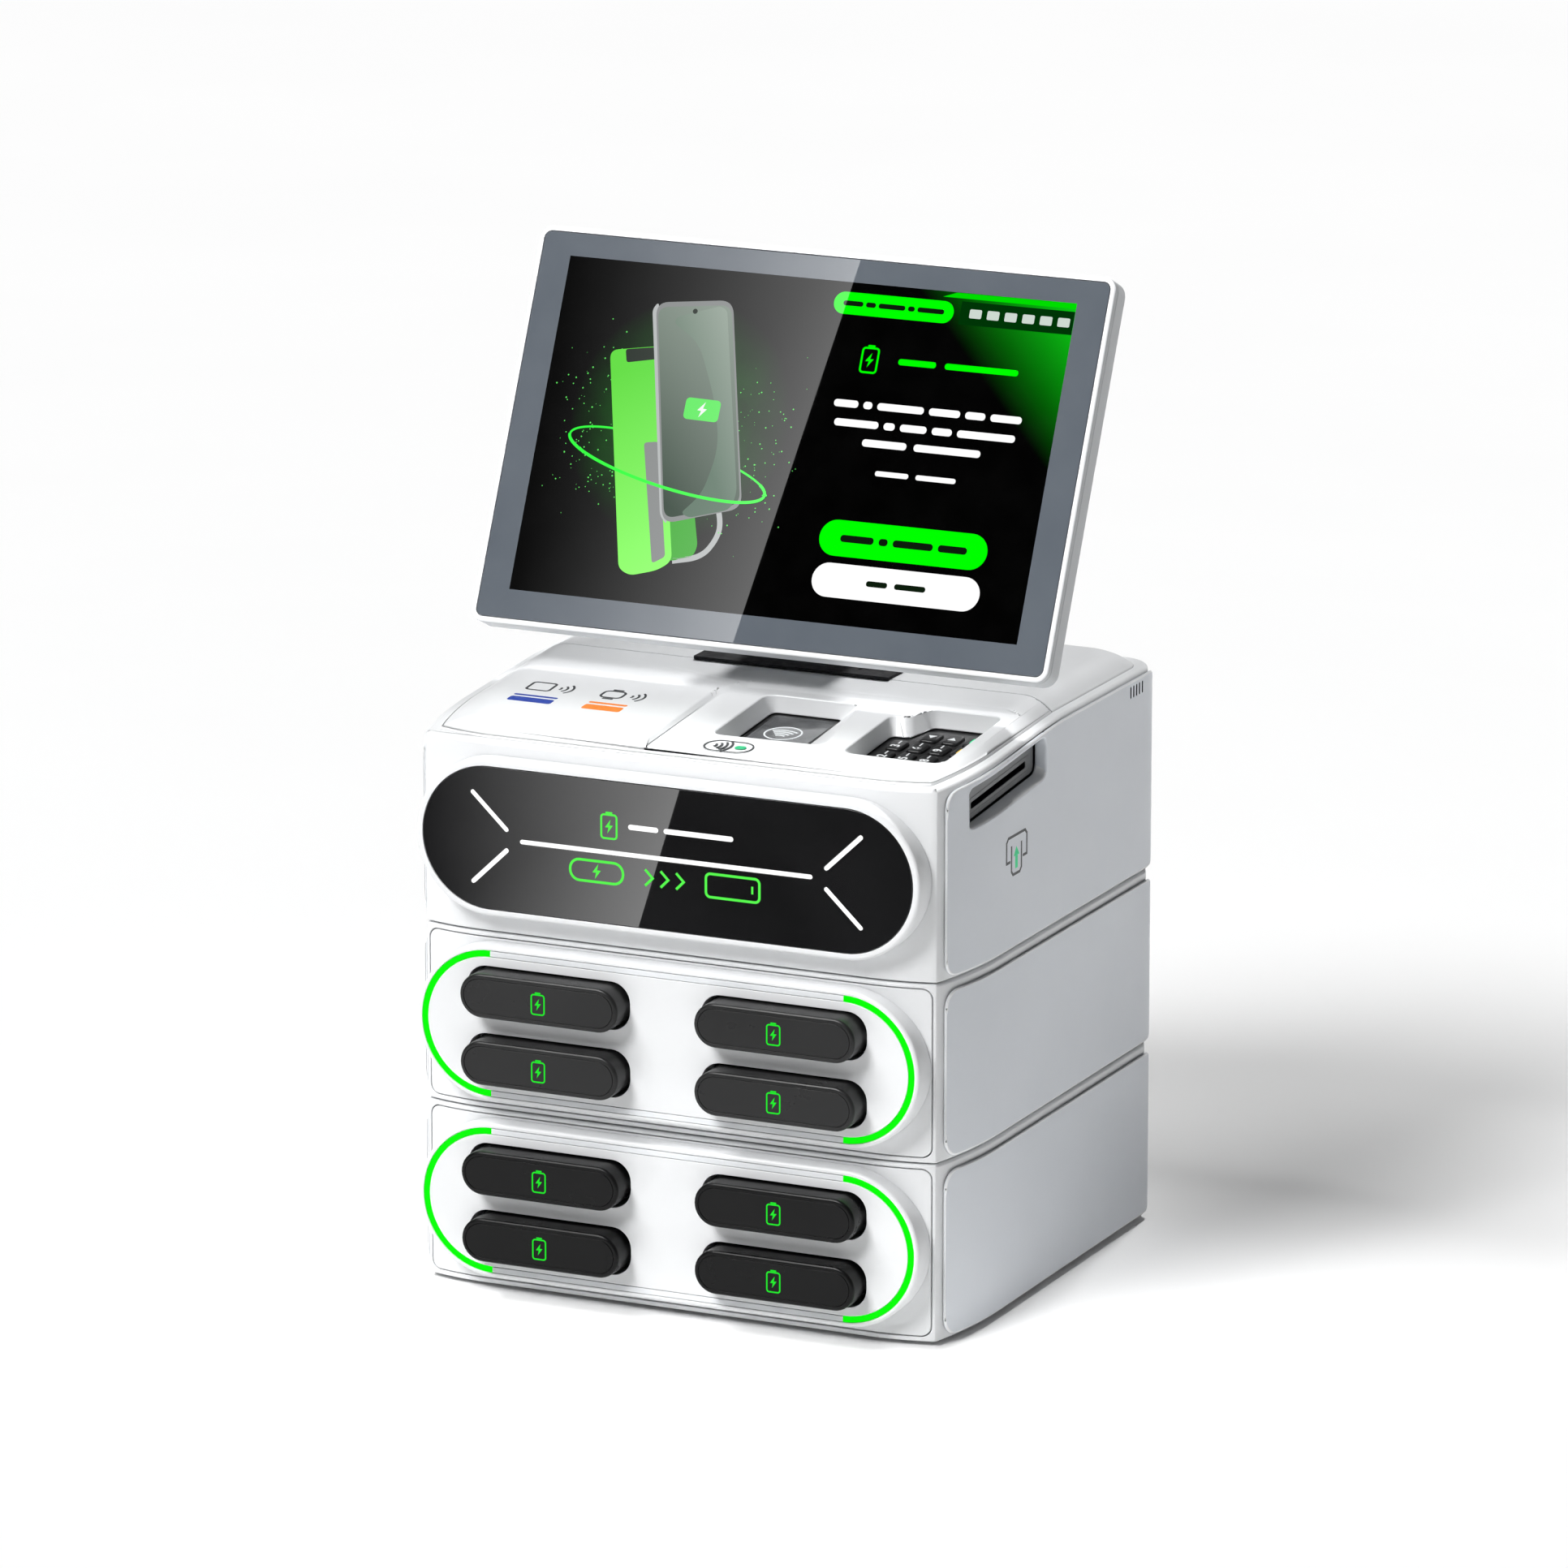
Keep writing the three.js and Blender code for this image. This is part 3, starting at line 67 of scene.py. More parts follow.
def make_camera():
    data = bpy.data.cameras.new("camera")
    data.sensor_width = 36
    data.lens = CAMERA_LENS
    data.clip_start, data.clip_end = 0.05, 100
    camera = place("camera", data)
    level = math.cos(CAMERA_ELEVATION)
    back = Vector((
        math.sin(CAMERA_AZIMUTH) * level,
        -math.cos(CAMERA_AZIMUTH) * level,
        math.sin(CAMERA_ELEVATION),
    ))
    camera.location = CAMERA_PLACE
    camera.rotation_mode = "QUATERNION"
    camera.rotation_quaternion = (-back).to_track_quat("-Z", "Y")
    bpy.context.scene.camera = camera


make_camera()


# ---------- sizes, in millimetres ----------
def span(node):
    """Lowest and highest corner of a CAD node, in millimetres."""
    low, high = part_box(node)
    return low / MM, high / MM


BODY_LOW, BODY_HIGH = span("lower_housing")
HALF_WIDTH = BODY_HIGH.x
FRONT_Y = BODY_LOW.y
REAR_Y = BODY_HIGH.y
MID_Y = (FRONT_Y + REAR_Y) / 2
HALF_DEPTH = (REAR_Y - FRONT_Y) / 2
FRONT_FLAT = 88
FRONT_RADIUS = 90
FRONT_CORNER_X = 115.2
SIDE_BOW_Y = -46
SIDE_RADIUS = 192.3
SIDE_CORNER_Y = -90
REAR_RADIUS = 16

GAP = 0.3
WALL = 2.6
TOP_PLATE = 2.5
TOP_ROUND = 1.2
BOTTOM_ROUND = 0.6
COVER_THICKNESS = 1.2
COVER_CORNER = 8
PLATE_THICKNESS = 3
PLATE_CORNER = 4

PILL_FACE_Y = span("lower_pill_bezel")[0].y
PILL_HALF_LENGTH = span("lower_pill_bezel")[1].x
PILL_RADIUS = (span("lower_pill_bezel")[1].z - span("lower_pill_bezel")[0].z) / 2
PILL_ROUND = 1.5
RING_RADIUS = 31
RING_WIDTH = 2.3
RING_DEPTH = 1.2
RING_OFFSET = PILL_RADIUS - RING_RADIUS
RING_LIT_FROM = 79.9

SLOT_WIDTH = 74.2
SLOT_HEIGHT = 20.4
SLOT_CORNER = 8.6
BANK_ROUND = 1.3
BANK_LINE_INSET = 1.9

SEAM_Y = span("deck_rear")[0].y - 0.15
RIM_REAR_Z = span("head_housing")[1].z
RIM_SLOPE = 0.065
DECK_REAR_Z = span("deck_rear")[1].z
DECK_SLOPE = 0.0864
DECK_INSET = 4.8
DECK_PLAY = 0.05
DECK_THICKNESS = 3.2
PLATFORM_DEPTH = 1.6
LEDGE_SLOPE = 2.6
HEAD_COVER_REAR_Z = span("head_right_cover")[1].z
HEAD_COVER_SLOPE = 0.0735
HEAD_COVER_BEND_Y = 10

TERMINAL_Y = -40.2
TERMINAL_DROP = 9.7
TERMINAL_TILT = math.atan(DECK_SLOPE)
KEY_COLUMNS = (70.8, 80.3, 89.8, 99.3)
KEY_ROWS = (-9, 4.4, 17.8)
LEGEND_SIZE = 5.6

SCREEN_TILT = math.radians(24.47)
GLASS_WIDTH = 257.8
GLASS_HEIGHT = 165.7
GLASS_THICKNESS = 2
RIM = 2.5
SCREEN_DEPTH = 13.5
SHELL_ROUND = 2.6
HINGE_BACK, HINGE_UP = 22.5, -35
PIN_RADIUS = 3
PIN_BORE = 3.3
KNUCKLE_RADIUS = 8
NECK_HALF_WIDTH = 25
NECK_FOOT_Y = 58
STAND_FOOT_Y = 36
STAND_FOOT_HEIGHT = 4
ACTIVE_HALF_WIDTH = 115.6
ACTIVE_HALF_HEIGHT = 71.8
ACTIVE_UP = 1.2


def rim_plane(y):
    """Height of the sloping front rim, carried on straight past the seam."""
    return RIM_REAR_Z + RIM_SLOPE * (y - SEAM_Y)


def deck_plane(y):
    """Height of the sloping front deck, carried on straight past the seam."""
    return DECK_REAR_Z + DECK_SLOPE * (y - SEAM_Y)


def rim_height(y):
    return min(RIM_REAR_Z, rim_plane(y))


def deck_height(y):
    return min(DECK_REAR_Z, deck_plane(y))


# ---------- outlines ----------
def arc(cx, cy, radius, start, end, steps):
    """Points of an arc, both ends included."""
    turn = (end - start) / steps
    angles = [start + turn * i for i in range(steps + 1)]
    return [(cx + radius * math.cos(a), cy + radius * math.sin(a)) for a in angles]


def circle(cx, cy, radius, sides):
    return arc(cx, cy, radius, 0, 2 * math.pi * (sides - 1) / sides, sides - 1)


def quarter_turns(steps):
    """Angles from zero to a right angle, for the profile of a rounded edge."""
    return [math.pi / 2 * i / steps for i in range(steps + 1)]


def rounded_rect(x0, x1, y0, y1, radius, steps=8):
    quarter = math.pi / 2
    return (
        arc(x1 - radius, y0 + radius, radius, -quarter, 0, steps)
        + arc(x1 - radius, y1 - radius, radius, 0, quarter, steps)
        + arc(x0 + radius, y1 - radius, radius, quarter, 2 * quarter, steps)
        + arc(x0 + radius, y0 + radius, radius, 2 * quarter, 3 * quarter, steps)
    )


def stadium(half_length, radius, steps=36):
    quarter = math.pi / 2
    reach = half_length - radius
    right = arc(reach, 0, radius, -quarter, quarter, steps)
    return right + arc(-reach, 0, radius, quarter, 3 * quarter, steps)


def bezier(start, control, end, steps):
    """Points of a quadratic curve, both ends included."""
    points = []
    for i in range(steps + 1):
        t = i / steps
        points.append(start.lerp(control, t).lerp(control.lerp(end, t), t))
    return points


def round_corners(points, radius, steps=8):
    """The polygon with each corner rounded by a short curve."""
    rounded = []
    for i, corner in enumerate(points):
        here = Vector(corner)
        before = Vector(points[i - 1]) - here
        after = Vector(points[(i + 1) % len(points)]) - here
        reach = min(radius, 0.45 * before.length, 0.45 * after.length)
        curve = bezier(here + before.normalized() * reach, here, here + after.normalized() * reach, steps)
        rounded += [(p.x, p.y) for p in curve]
    return rounded


def moved(outline, dx, dy):
    return [(x + dx, y + dy) for x, y in outline]


def body_outline():
    """Plan of the body: right half from the middle of the front round to the rear, then mirrored."""
    front_turn = math.asin((FRONT_CORNER_X - FRONT_FLAT) / FRONT_RADIUS)
    side_turn = math.asin((SIDE_BOW_Y - SIDE_CORNER_Y) / SIDE_RADIUS)
    down = -math.pi / 2
    front = arc(FRONT_FLAT, FRONT_Y + FRONT_RADIUS, FRONT_RADIUS, down, down + front_turn, 12)
    side = arc(HALF_WIDTH - SIDE_RADIUS, SIDE_BOW_Y, SIDE_RADIUS, -side_turn, 0, 12)
    start, end = Vector(front[-1]), Vector(side[0])
    ahead = Vector((math.cos(front_turn), math.sin(front_turn)))
    beside = Vector((math.sin(side_turn), math.cos(side_turn)))
    across = end - start
    reach = (across.x * beside.y - across.y * beside.x) / (ahead.x * beside.y - ahead.y * beside.x)
    corner = bezier(start, start + ahead * reach, end, 8)[1:-1]
    rear = arc(HALF_WIDTH - REAR_RADIUS, REAR_Y - REAR_RADIUS, REAR_RADIUS, 0, math.pi / 2, 14)
    right = front + [(p.x, p.y) for p in corner] + side + rear
    return right + [(-x, y) for x, y in reversed(right)]


OUTLINE = body_outline()


def inset(distance):
    """The body's outline moved in by a distance; a negative distance moves it out."""
    kx = 1 - distance / HALF_WIDTH
    ky = 1 - distance / HALF_DEPTH
    return [(x * kx, MID_Y + (y - MID_Y) * ky) for x, y in OUTLINE]


# ---------- meshes ----------
def make_mesh(name, points, faces):
    """A mesh object from points in millimetres, with its faces pointing out."""
    mesh = bpy.data.meshes.new(name)
    mesh.from_pydata([Vector(p) * MM for p in points], [], faces)
    volume = sum(
        mesh.vertices[f.vertices[0]].co.dot(
            mesh.vertices[f.vertices[i]].co.cross(mesh.vertices[f.vertices[i + 1]].co))
        for f in mesh.polygons for i in range(1, len(f.vertices) - 1)
    )
    if volume < 0:
        mesh.flip_normals()
    return place(name, mesh)


def loft(name, rings):
    """Skin over rings with the same number of points, closed by a cap at each end."""
    count = len(rings[0])
    points = [p for ring in rings for p in ring]
    faces = []
    for r in range(len(rings) - 1):
        for i in range(count):
            j = (i + 1) % count
            faces.append((r * count + i, r * count + j, (r + 1) * count + j, (r + 1) * count + i))
    faces.append(tuple(reversed(range(count))))
    faces.append(tuple(range((len(rings) - 1) * count, len(rings) * count)))
    return make_mesh(name, points, faces)


def prism_z(outline, z0, z1, name="tool"):
    return loft(name, [[(x, y, z) for x, y in outline] for z in (z0, z1)])


def prism_y(outline, y0, y1, name="tool"):
    return loft(name, [[(x, y, z) for x, z in outline] for y in (y0, y1)])


def prism_x(outline, x0, x1, name="tool"):
    return loft(name, [[(x, y, z) for y, z in outline] for x in (x0, x1)])


def block(x0, x1, y0, y1, z0, z1, name="tool"):
    return prism_z([(x0, y0), (x1, y0), (x1, y1), (x0, y1)], z0, z1, name)


def apply_modifiers(obj):
    bpy.context.view_layer.update()
    graph = bpy.context.evaluated_depsgraph_get()
    shown = obj.evaluated_get(graph)
    mesh = bpy.data.meshes.new_from_object(shown, preserve_all_data_layers=True, depsgraph=graph)
    obj.modifiers.clear()
    obj.data = mesh
    return obj


def combine(obj, operation, tools):
    for tool in tools:
        modifier = obj.modifiers.new(operation.lower(), "BOOLEAN")
        modifier.operation = operation
        modifier.solver = "EXACT"
        modifier.object = tool
    apply_modifiers(obj)
    for tool in tools:
        bpy.data.objects.remove(tool)
    return obj


def cut(obj, *tools):
    return combine(obj, "DIFFERENCE", tools)


def join(obj, *tools):
    return combine(obj, "UNION", tools)


def meet(obj, *tools):
    return combine(obj, "INTERSECT", tools)


def soften(obj, width, segments=3, angle=32, highlight_slot=-1, share=None):
    """Rounds the sharp edges and shades the rest smooth. Faces on the rounding take the given highlight slot,
    which paints a highlight along a rim where it is set, and an edge's share of the width comes from its two
    ends when a function for it is given."""
    obj.data.shade_smooth()
    bevel = obj.modifiers.new("bevel", "BEVEL")
    bevel.width = width * MM
    bevel.segments = segments
    if share is None:
        bevel.limit_method = "ANGLE"
        bevel.angle_limit = math.radians(angle)
    else:
        weigh_edges(obj.data, math.radians(angle), share)
        bevel.limit_method = "WEIGHT"
    bevel.use_clamp_overlap = False
    bevel.harden_normals = True
    bevel.material = highlight_slot
    return apply_modifiers(obj)


def weigh_edges(mesh, angle, share):
    work = bmesh.new()
    work.from_mesh(mesh)
    weights = work.edges.layers.float.new("bevel_weight_edge")
    for edge in work.edges:
        if len(edge.link_faces) == 2 and edge.calc_face_angle() > angle:
            edge[weights] = share(*(v.co / MM for v in edge.verts))
    work.to_mesh(mesh)
    work.free()


OUTLINE_POINTS = np.array(OUTLINE)
OUTLINE_STEPS = np.roll(OUTLINE_POINTS, -1, 0) - OUTLINE_POINTS
OUTLINE_LENGTHS = np.hypot(*OUTLINE_STEPS.T)
STEP_NORMALS = np.stack([OUTLINE_STEPS[:, 1], -OUTLINE_STEPS[:, 0]], 1) / OUTLINE_LENGTHS[:, None]
POINT_NORMALS = STEP_NORMALS + np.roll(STEP_NORMALS, 1, 0)
POINT_NORMALS /= np.hypot(*POINT_NORMALS.T)[:, None]


def nearest_outline(points):
    """Distance of each point from the plan's outline, and the outline's smooth outward normal there."""
    away = points[:, None, :] - OUTLINE_POINTS[None]
    along = np.clip((away * OUTLINE_STEPS).sum(2) / OUTLINE_LENGTHS ** 2, 0, 1)
    gaps = ((away - along[..., None] * OUTLINE_STEPS) ** 2).sum(2)
    nearest = gaps.argmin(1)
    share = along[np.arange(len(points)), nearest][:, None]
    after = np.roll(POINT_NORMALS, -1, 0)[nearest]
    normals = POINT_NORMALS[nearest] * (1 - share) + after * share
    return np.sqrt(gaps.min(1)), normals / np.hypot(*normals.T)[:, None]


def polish(obj):
    """Gives upright faces that follow the body's plan its exact normals, so that cuts leave no creases."""
    mesh = obj.data
    corners = np.zeros(len(mesh.loops) * 3)
    mesh.corner_normals.foreach_get("vector", corners)
    corners = corners.reshape(-1, 3)
    places = np.zeros(len(mesh.vertices) * 3)
    mesh.vertices.foreach_get("co", places)
    places = places.reshape(-1, 3)[:, :2] / MM
    chosen = [f for f in mesh.polygons if abs(f.normal.z) < 0.01]
    loops = np.array([i for f in chosen for i in f.loop_indices])
    flat = np.array([f.normal[:2] for f in chosen for _ in f.loop_indices])
    used = np.array([mesh.loops[i].vertex_index for i in loops])
    exact = nearest_outline(places[used])[1]
    facing = (exact * flat).sum(1)
    close = np.abs(facing) > 0.995
    corners[loops[close], :2] = exact[close] * np.sign(facing[close])[:, None]
    corners[loops[close], 2] = 0
    mesh.normals_split_custom_set([tuple(n) for n in corners])
    return obj


# ---------- materials ----------
GLASS_ROUGHNESS = 0.008


class Shader:
    """A node material with short calls for the nodes that are used here."""

    def __init__(self, name, roughness=0.4, metallic=0.0, specular=0.5, coat=0.0):
        self.material = bpy.data.materials.new(name)
        self.material.use_nodes = True
        self.tree = self.material.node_tree
        self.bsdf = self.tree.nodes["Principled BSDF"]
        self.bsdf.inputs["Metallic"].default_value = metallic
        self.bsdf.inputs["Roughness"].default_value = roughness
        self.bsdf.inputs["Specular IOR Level"].default_value = specular
        self.bsdf.inputs["Coat Weight"].default_value = coat
        self.place = self.tree.nodes.new("ShaderNodeTexCoord").outputs["Object"]

    def node(self, kind, **settings):
        made = self.tree.nodes.new(kind)
        for key, value in settings.items():
            setattr(made, key, value)
        return made

    def link(self, source, target):
        self.tree.links.new(source, target)

    def noise(self, scale, detail=3.0, stretch=(1, 1, 1)):
        mapping = self.node("ShaderNodeMapping")
        mapping.inputs["Scale"].default_value = stretch
        self.link(self.place, mapping.inputs["Vector"])
        noise = self.node("ShaderNodeTexNoise")
        noise.inputs["Scale"].default_value = scale
        noise.inputs["Detail"].default_value = detail
        self.link(mapping.outputs["Vector"], noise.inputs["Vector"])
        return noise.outputs["Fac"]

    def ramp(self, source, low, high, start=0.35, end=0.65):
        """Colour from low to high as the source goes from start to end."""
        ramp = self.node("ShaderNodeValToRGB")
        ramp.color_ramp.elements[0].position = start
        ramp.color_ramp.elements[1].position = end
        ramp.color_ramp.elements[0].color = (*low, 1)
        ramp.color_ramp.elements[1].color = (*high, 1)
        self.link(source, ramp.inputs["Fac"])
        return ramp.outputs["Color"]

    def span(self, source, low, high, start=0.3, end=0.7):
        spread = self.node("ShaderNodeMapRange")
        spread.inputs["From Min"].default_value = start
        spread.inputs["From Max"].default_value = end
        spread.inputs["To Min"].default_value = low
        spread.inputs["To Max"].default_value = high
        self.link(source, spread.inputs["Value"])
        return spread.outputs["Result"]

    def math(self, operation, first, second=0.0, clamp=False):
        made = self.node("ShaderNodeMath", operation=operation, use_clamp=clamp)
        for value, socket in ((first, made.inputs[0]), (second, made.inputs[1])):
            if isinstance(value, (int, float)):
                socket.default_value = value
            else:
                self.link(value, socket)
        return made.outputs["Value"]

    def mix(self, factor, first, second):
        made = self.node("ShaderNodeMix", data_type="RGBA")
        self.link(factor, made.inputs["Factor"])
        for value, socket in ((first, made.inputs[6]), (second, made.inputs[7])):
            if isinstance(value, tuple):
                socket.default_value = (*value, 1)
            else:
                self.link(value, socket)
        return made.outputs[2]

    def bump(self, height, strength, distance, below=None):
        bump = self.node("ShaderNodeBump")
        bump.inputs["Strength"].default_value = strength
        bump.inputs["Distance"].default_value = distance
        self.link(height, bump.inputs["Height"])
        if below is not None:
            self.link(below, bump.inputs["Normal"])
        self.link(bump.outputs["Normal"], self.bsdf.inputs["Normal"])
        return bump.outputs["Normal"]


def scaled(colour, factor):
    return tuple(min(1.0, c * factor) for c in colour)


def moulded(name, colour, roughness, variation=0.03, grain=0.12, coat=0.0, specular=0.5, worn=0.0):
    """Moulded plastic: cloudy tone, uneven gloss, a spark-eroded grain, a faint flow ripple, worn edges."""
    s = Shader(name, roughness, specular=specular, coat=coat)
    if coat:
        s.bsdf.inputs["Coat Roughness"].default_value = 0.12
    tone = s.ramp(s.noise(18, 4), scaled(colour, 1 - variation), scaled(colour, 1 + variation))
    if worn:
        edge = s.span(s.node("ShaderNodeNewGeometry").outputs["Pointiness"], 0, worn, 0.51, 0.56)
        scuffed = s.math("MULTIPLY", edge, s.span(s.noise(220, 5), 0, 1, 0.4, 0.6))
        tone = s.mix(scuffed, tone, scaled(colour, 2.2))
    s.link(tone, s.bsdf.inputs["Base Color"])
    s.link(s.span(s.noise(55, 5), roughness - 0.05, roughness + 0.06), s.bsdf.inputs["Roughness"])
    ripple = s.bump(s.noise(30, 2), 0.05, 0.0006)
    s.bump(s.noise(2600, 2), grain, 0.00004, ripple)
    return s.material


def lit_material(name, colour, strength=1.0, flicker=0.04):
    """Diffuser lit from behind, with faint hot and cool spots; the printed key legends use it too, as a
    painted glow.
    """
    s = Shader(name, 0.4, specular=0.1)
    glow = s.ramp(s.noise(140, 3), scaled(colour, 1 - flicker), colour)
    s.bsdf.inputs["Base Color"].default_value = (*scaled(colour, 0.05), 1)
    s.link(glow, s.bsdf.inputs["Emission Color"])
    s.bsdf.inputs["Emission Strength"].default_value = strength
    s.bump(s.noise(1500, 2), 0.05, 0.00003)
    return s.material


def ring_material():
    """Light guide: lit green round the two ends, unlit white along the straight stretches."""
    s = Shader("ring_light_guide", 0.4, specular=0.05)
    parts = s.node("ShaderNodeSeparateXYZ")
    s.link(s.place, parts.inputs["Vector"])
    away = s.math("ABSOLUTE", parts.outputs["X"])
    lit = s.math("GREATER_THAN", away, RING_LIT_FROM * MM)
    unlit = s.ramp(s.noise(60, 3), (0.74, 0.76, 0.78), (0.8, 0.82, 0.84))
    s.link(s.mix(lit, unlit, (0.0, 0.02, 0.0)), s.bsdf.inputs["Base Color"])
    green = s.ramp(s.noise(160, 3), (0.0, 0.94, 0.0), (0.0, 1.0, 0.0))
    s.link(green, s.bsdf.inputs["Emission Color"])
    s.link(lit, s.bsdf.inputs["Emission Strength"])
    s.bump(s.noise(1800, 2), 0.06, 0.00003)
    return s.material


def metal_material(name, colour, roughness, stretch=(1, 60, 60)):
    """Metal with fine brushing and a few darker smears."""
    s = Shader(name, roughness, metallic=1.0)
    s.link(s.ramp(s.noise(40, 4), scaled(colour, 0.9), scaled(colour, 1.05)), s.bsdf.inputs["Base Color"])
    brushing = s.noise(40, 6, stretch)
    s.link(s.span(brushing, roughness - 0.08, roughness + 0.1), s.bsdf.inputs["Roughness"])
    s.bump(brushing, 0.1, 0.00005)
    return s.material


def rubber_material():
    s = Shader("black_rubber", 0.8, specular=0.3)
    s.link(s.ramp(s.noise(90, 6), (0.008, 0.008, 0.009), (0.02, 0.02, 0.022)), s.bsdf.inputs["Base Color"])
    s.link(s.span(s.noise(300, 4), 0.7, 0.9), s.bsdf.inputs["Roughness"])
    s.bump(s.noise(1600, 5), 0.35, 0.00012)
    return s.material


def board_material():
    """Green solder mask with copper tracks showing through it."""
    s = Shader("circuit_board", 0.35, coat=0.3)
    brick = s.node("ShaderNodeTexBrick")
    brick.inputs["Scale"].default_value = 120
    brick.inputs["Mortar Size"].default_value = 0.06
    brick.inputs["Color1"].default_value = (0.01, 0.09, 0.03, 1)
    brick.inputs["Color2"].default_value = (0.012, 0.11, 0.035, 1)
    brick.inputs["Mortar"].default_value = (0.03, 0.2, 0.07, 1)
    s.link(s.place, brick.inputs["Vector"])
    s.link(brick.outputs["Color"], s.bsdf.inputs["Base Color"])
    s.bump(brick.outputs["Fac"], 0.3, 0.00005)
    return s.material


def gloss_black(name, roughness=0.01, colour=(0.0095, 0.0095, 0.01)):
    """Polished black panel with a trace of haze and a faintly uneven tone."""
    s = Shader(name, roughness)
    s.link(s.ramp(s.noise(25, 4), scaled(colour, 0.85), scaled(colour, 1.15)), s.bsdf.inputs["Base Color"])
    s.link(s.span(s.noise(60, 6), roughness * 0.7, roughness * 1.5), s.bsdf.inputs["Roughness"])
    return s.material


def glass_material():
    """The glass over the display: black, with a green glow in a corner and a haze behind the art."""
    s = Shader("screen_display_glass", GLASS_ROUGHNESS)
    parts = s.node("ShaderNodeSeparateXYZ")
    s.link(s.place, parts.inputs["Vector"])
    x, z = parts.outputs["X"], parts.outputs["Z"]
    depth = s.ramp(s.noise(60, 3), (0.0006, 0.0006, 0.0006), (0.0014, 0.0014, 0.0014))
    s.link(depth, s.bsdf.inputs["Base Color"])
    s.link(s.span(s.noise(90, 5), GLASS_ROUGHNESS * 0.5, GLASS_ROUGHNESS * 1.5), s.bsdf.inputs["Roughness"])
    glow_x, glow_z, glow_reach, glow_level = 0.116, 0.073, 0.072, 0.62
    corner = s.math("ADD", s.math("SUBTRACT", x, glow_x), s.math("SUBTRACT", z, glow_z))
    glow = s.math("ADD", s.math("MULTIPLY", corner, 1 / glow_reach), 1.0, clamp=True)
    glow = s.math("POWER", glow, 1.5)
    haze_x, haze_z, haze_half_width, haze_half_height = -0.052, 0.008, 0.05, 0.052
    aside = s.math("POWER", s.math("MULTIPLY", s.math("SUBTRACT", x, haze_x), 1 / haze_half_width), 2.0)
    above = s.math("POWER", s.math("MULTIPLY", s.math("SUBTRACT", z, haze_z), 1 / haze_half_height), 2.0)
    haze = s.math("SUBTRACT", 1.0, s.math("SQRT", s.math("ADD", aside, above)), clamp=True)
    patchy = s.math("MULTIPLY", haze, s.span(s.noise(45, 4), 0.05, 0.16))
    level = s.math("MAXIMUM", s.math("MULTIPLY", glow, glow_level), patchy)
    s.bsdf.inputs["Emission Color"].default_value = (0.004, 1.0, 0.01, 1)
    s.link(level, s.bsdf.inputs["Emission Strength"])
    return s.material


def border_material():
    """The printed grey border under the glass; it mirrors more strongly than the display does."""
    s = Shader("screen_border_glass", GLASS_ROUGHNESS, specular=0.95)
    s.link(s.ramp(s.noise(30, 4), (0.108, 0.124, 0.146), (0.12, 0.137, 0.159)), s.bsdf.inputs["Base Color"])
    s.link(s.span(s.noise(90, 5), GLASS_ROUGHNESS * 0.5, GLASS_ROUGHNESS * 1.5), s.bsdf.inputs["Roughness"])
    return s.material


def picture_material(name, colour, level=1.0, edge=0.06):
    """A flat field of the lit picture behind the polished glass, with the display's fine rows."""
    s = Shader(name, GLASS_ROUGHNESS)
    rows = s.node("ShaderNodeTexWave", wave_type="BANDS", bands_direction="Z")
    rows.inputs["Scale"].default_value = 1200
    s.link(s.place, rows.inputs["Vector"])
    s.bsdf.inputs["Base Color"].default_value = (*scaled(colour, 0.02), 1)
    shown = s.ramp(rows.outputs["Fac"], scaled(colour, 1 - edge), colour, 0.2, 0.8)
    s.link(shown, s.bsdf.inputs["Emission Color"])
    s.bsdf.inputs["Emission Strength"].default_value = level
    return s.material


def shaded_picture(name, low, high, direction, length, level=1.0):
    """Picture field that shades from low to high along a direction in the screen's plane."""
    s = Shader(name, GLASS_ROUGHNESS)
    dot = s.node("ShaderNodeVectorMath", operation="DOT_PRODUCT")
    dot.inputs[1].default_value = (direction[0], 0, direction[1])
    s.link(s.place, dot.inputs[0])
    along = s.span(dot.outputs["Value"], 0, 1, -length * MM / 2, length * MM / 2)
    s.bsdf.inputs["Base Color"].default_value = (0.001, 0.001, 0.001, 1)
    s.link(s.ramp(along, low, high, 0, 1), s.bsdf.inputs["Emission Color"])
    s.bsdf.inputs["Emission Strength"].default_value = level
    return s.material


def ink_material(name, colour, roughness=0.45):
    s = Shader(name, roughness)
    s.link(s.ramp(s.noise(900, 4), scaled(colour, 0.9), scaled(colour, 1.08)), s.bsdf.inputs["Base Color"])
    s.link(s.span(s.noise(500, 3), roughness - 0.06, roughness + 0.08), s.bsdf.inputs["Roughness"])
    s.bump(s.noise(2400, 2), 0.08, 0.00002)
    return s.material


def display_material():
    """Grey glass of the card reader's display, a little cloudy."""
    s = Shader("reader_display_glass", 0.08)
    s.link(s.ramp(s.noise(70, 3), (0.10, 0.105, 0.11), (0.19, 0.195, 0.2)), s.bsdf.inputs["Base Color"])
    s.link(s.span(s.noise(200, 4), 0.05, 0.12), s.bsdf.inputs["Roughness"])
    return s.material


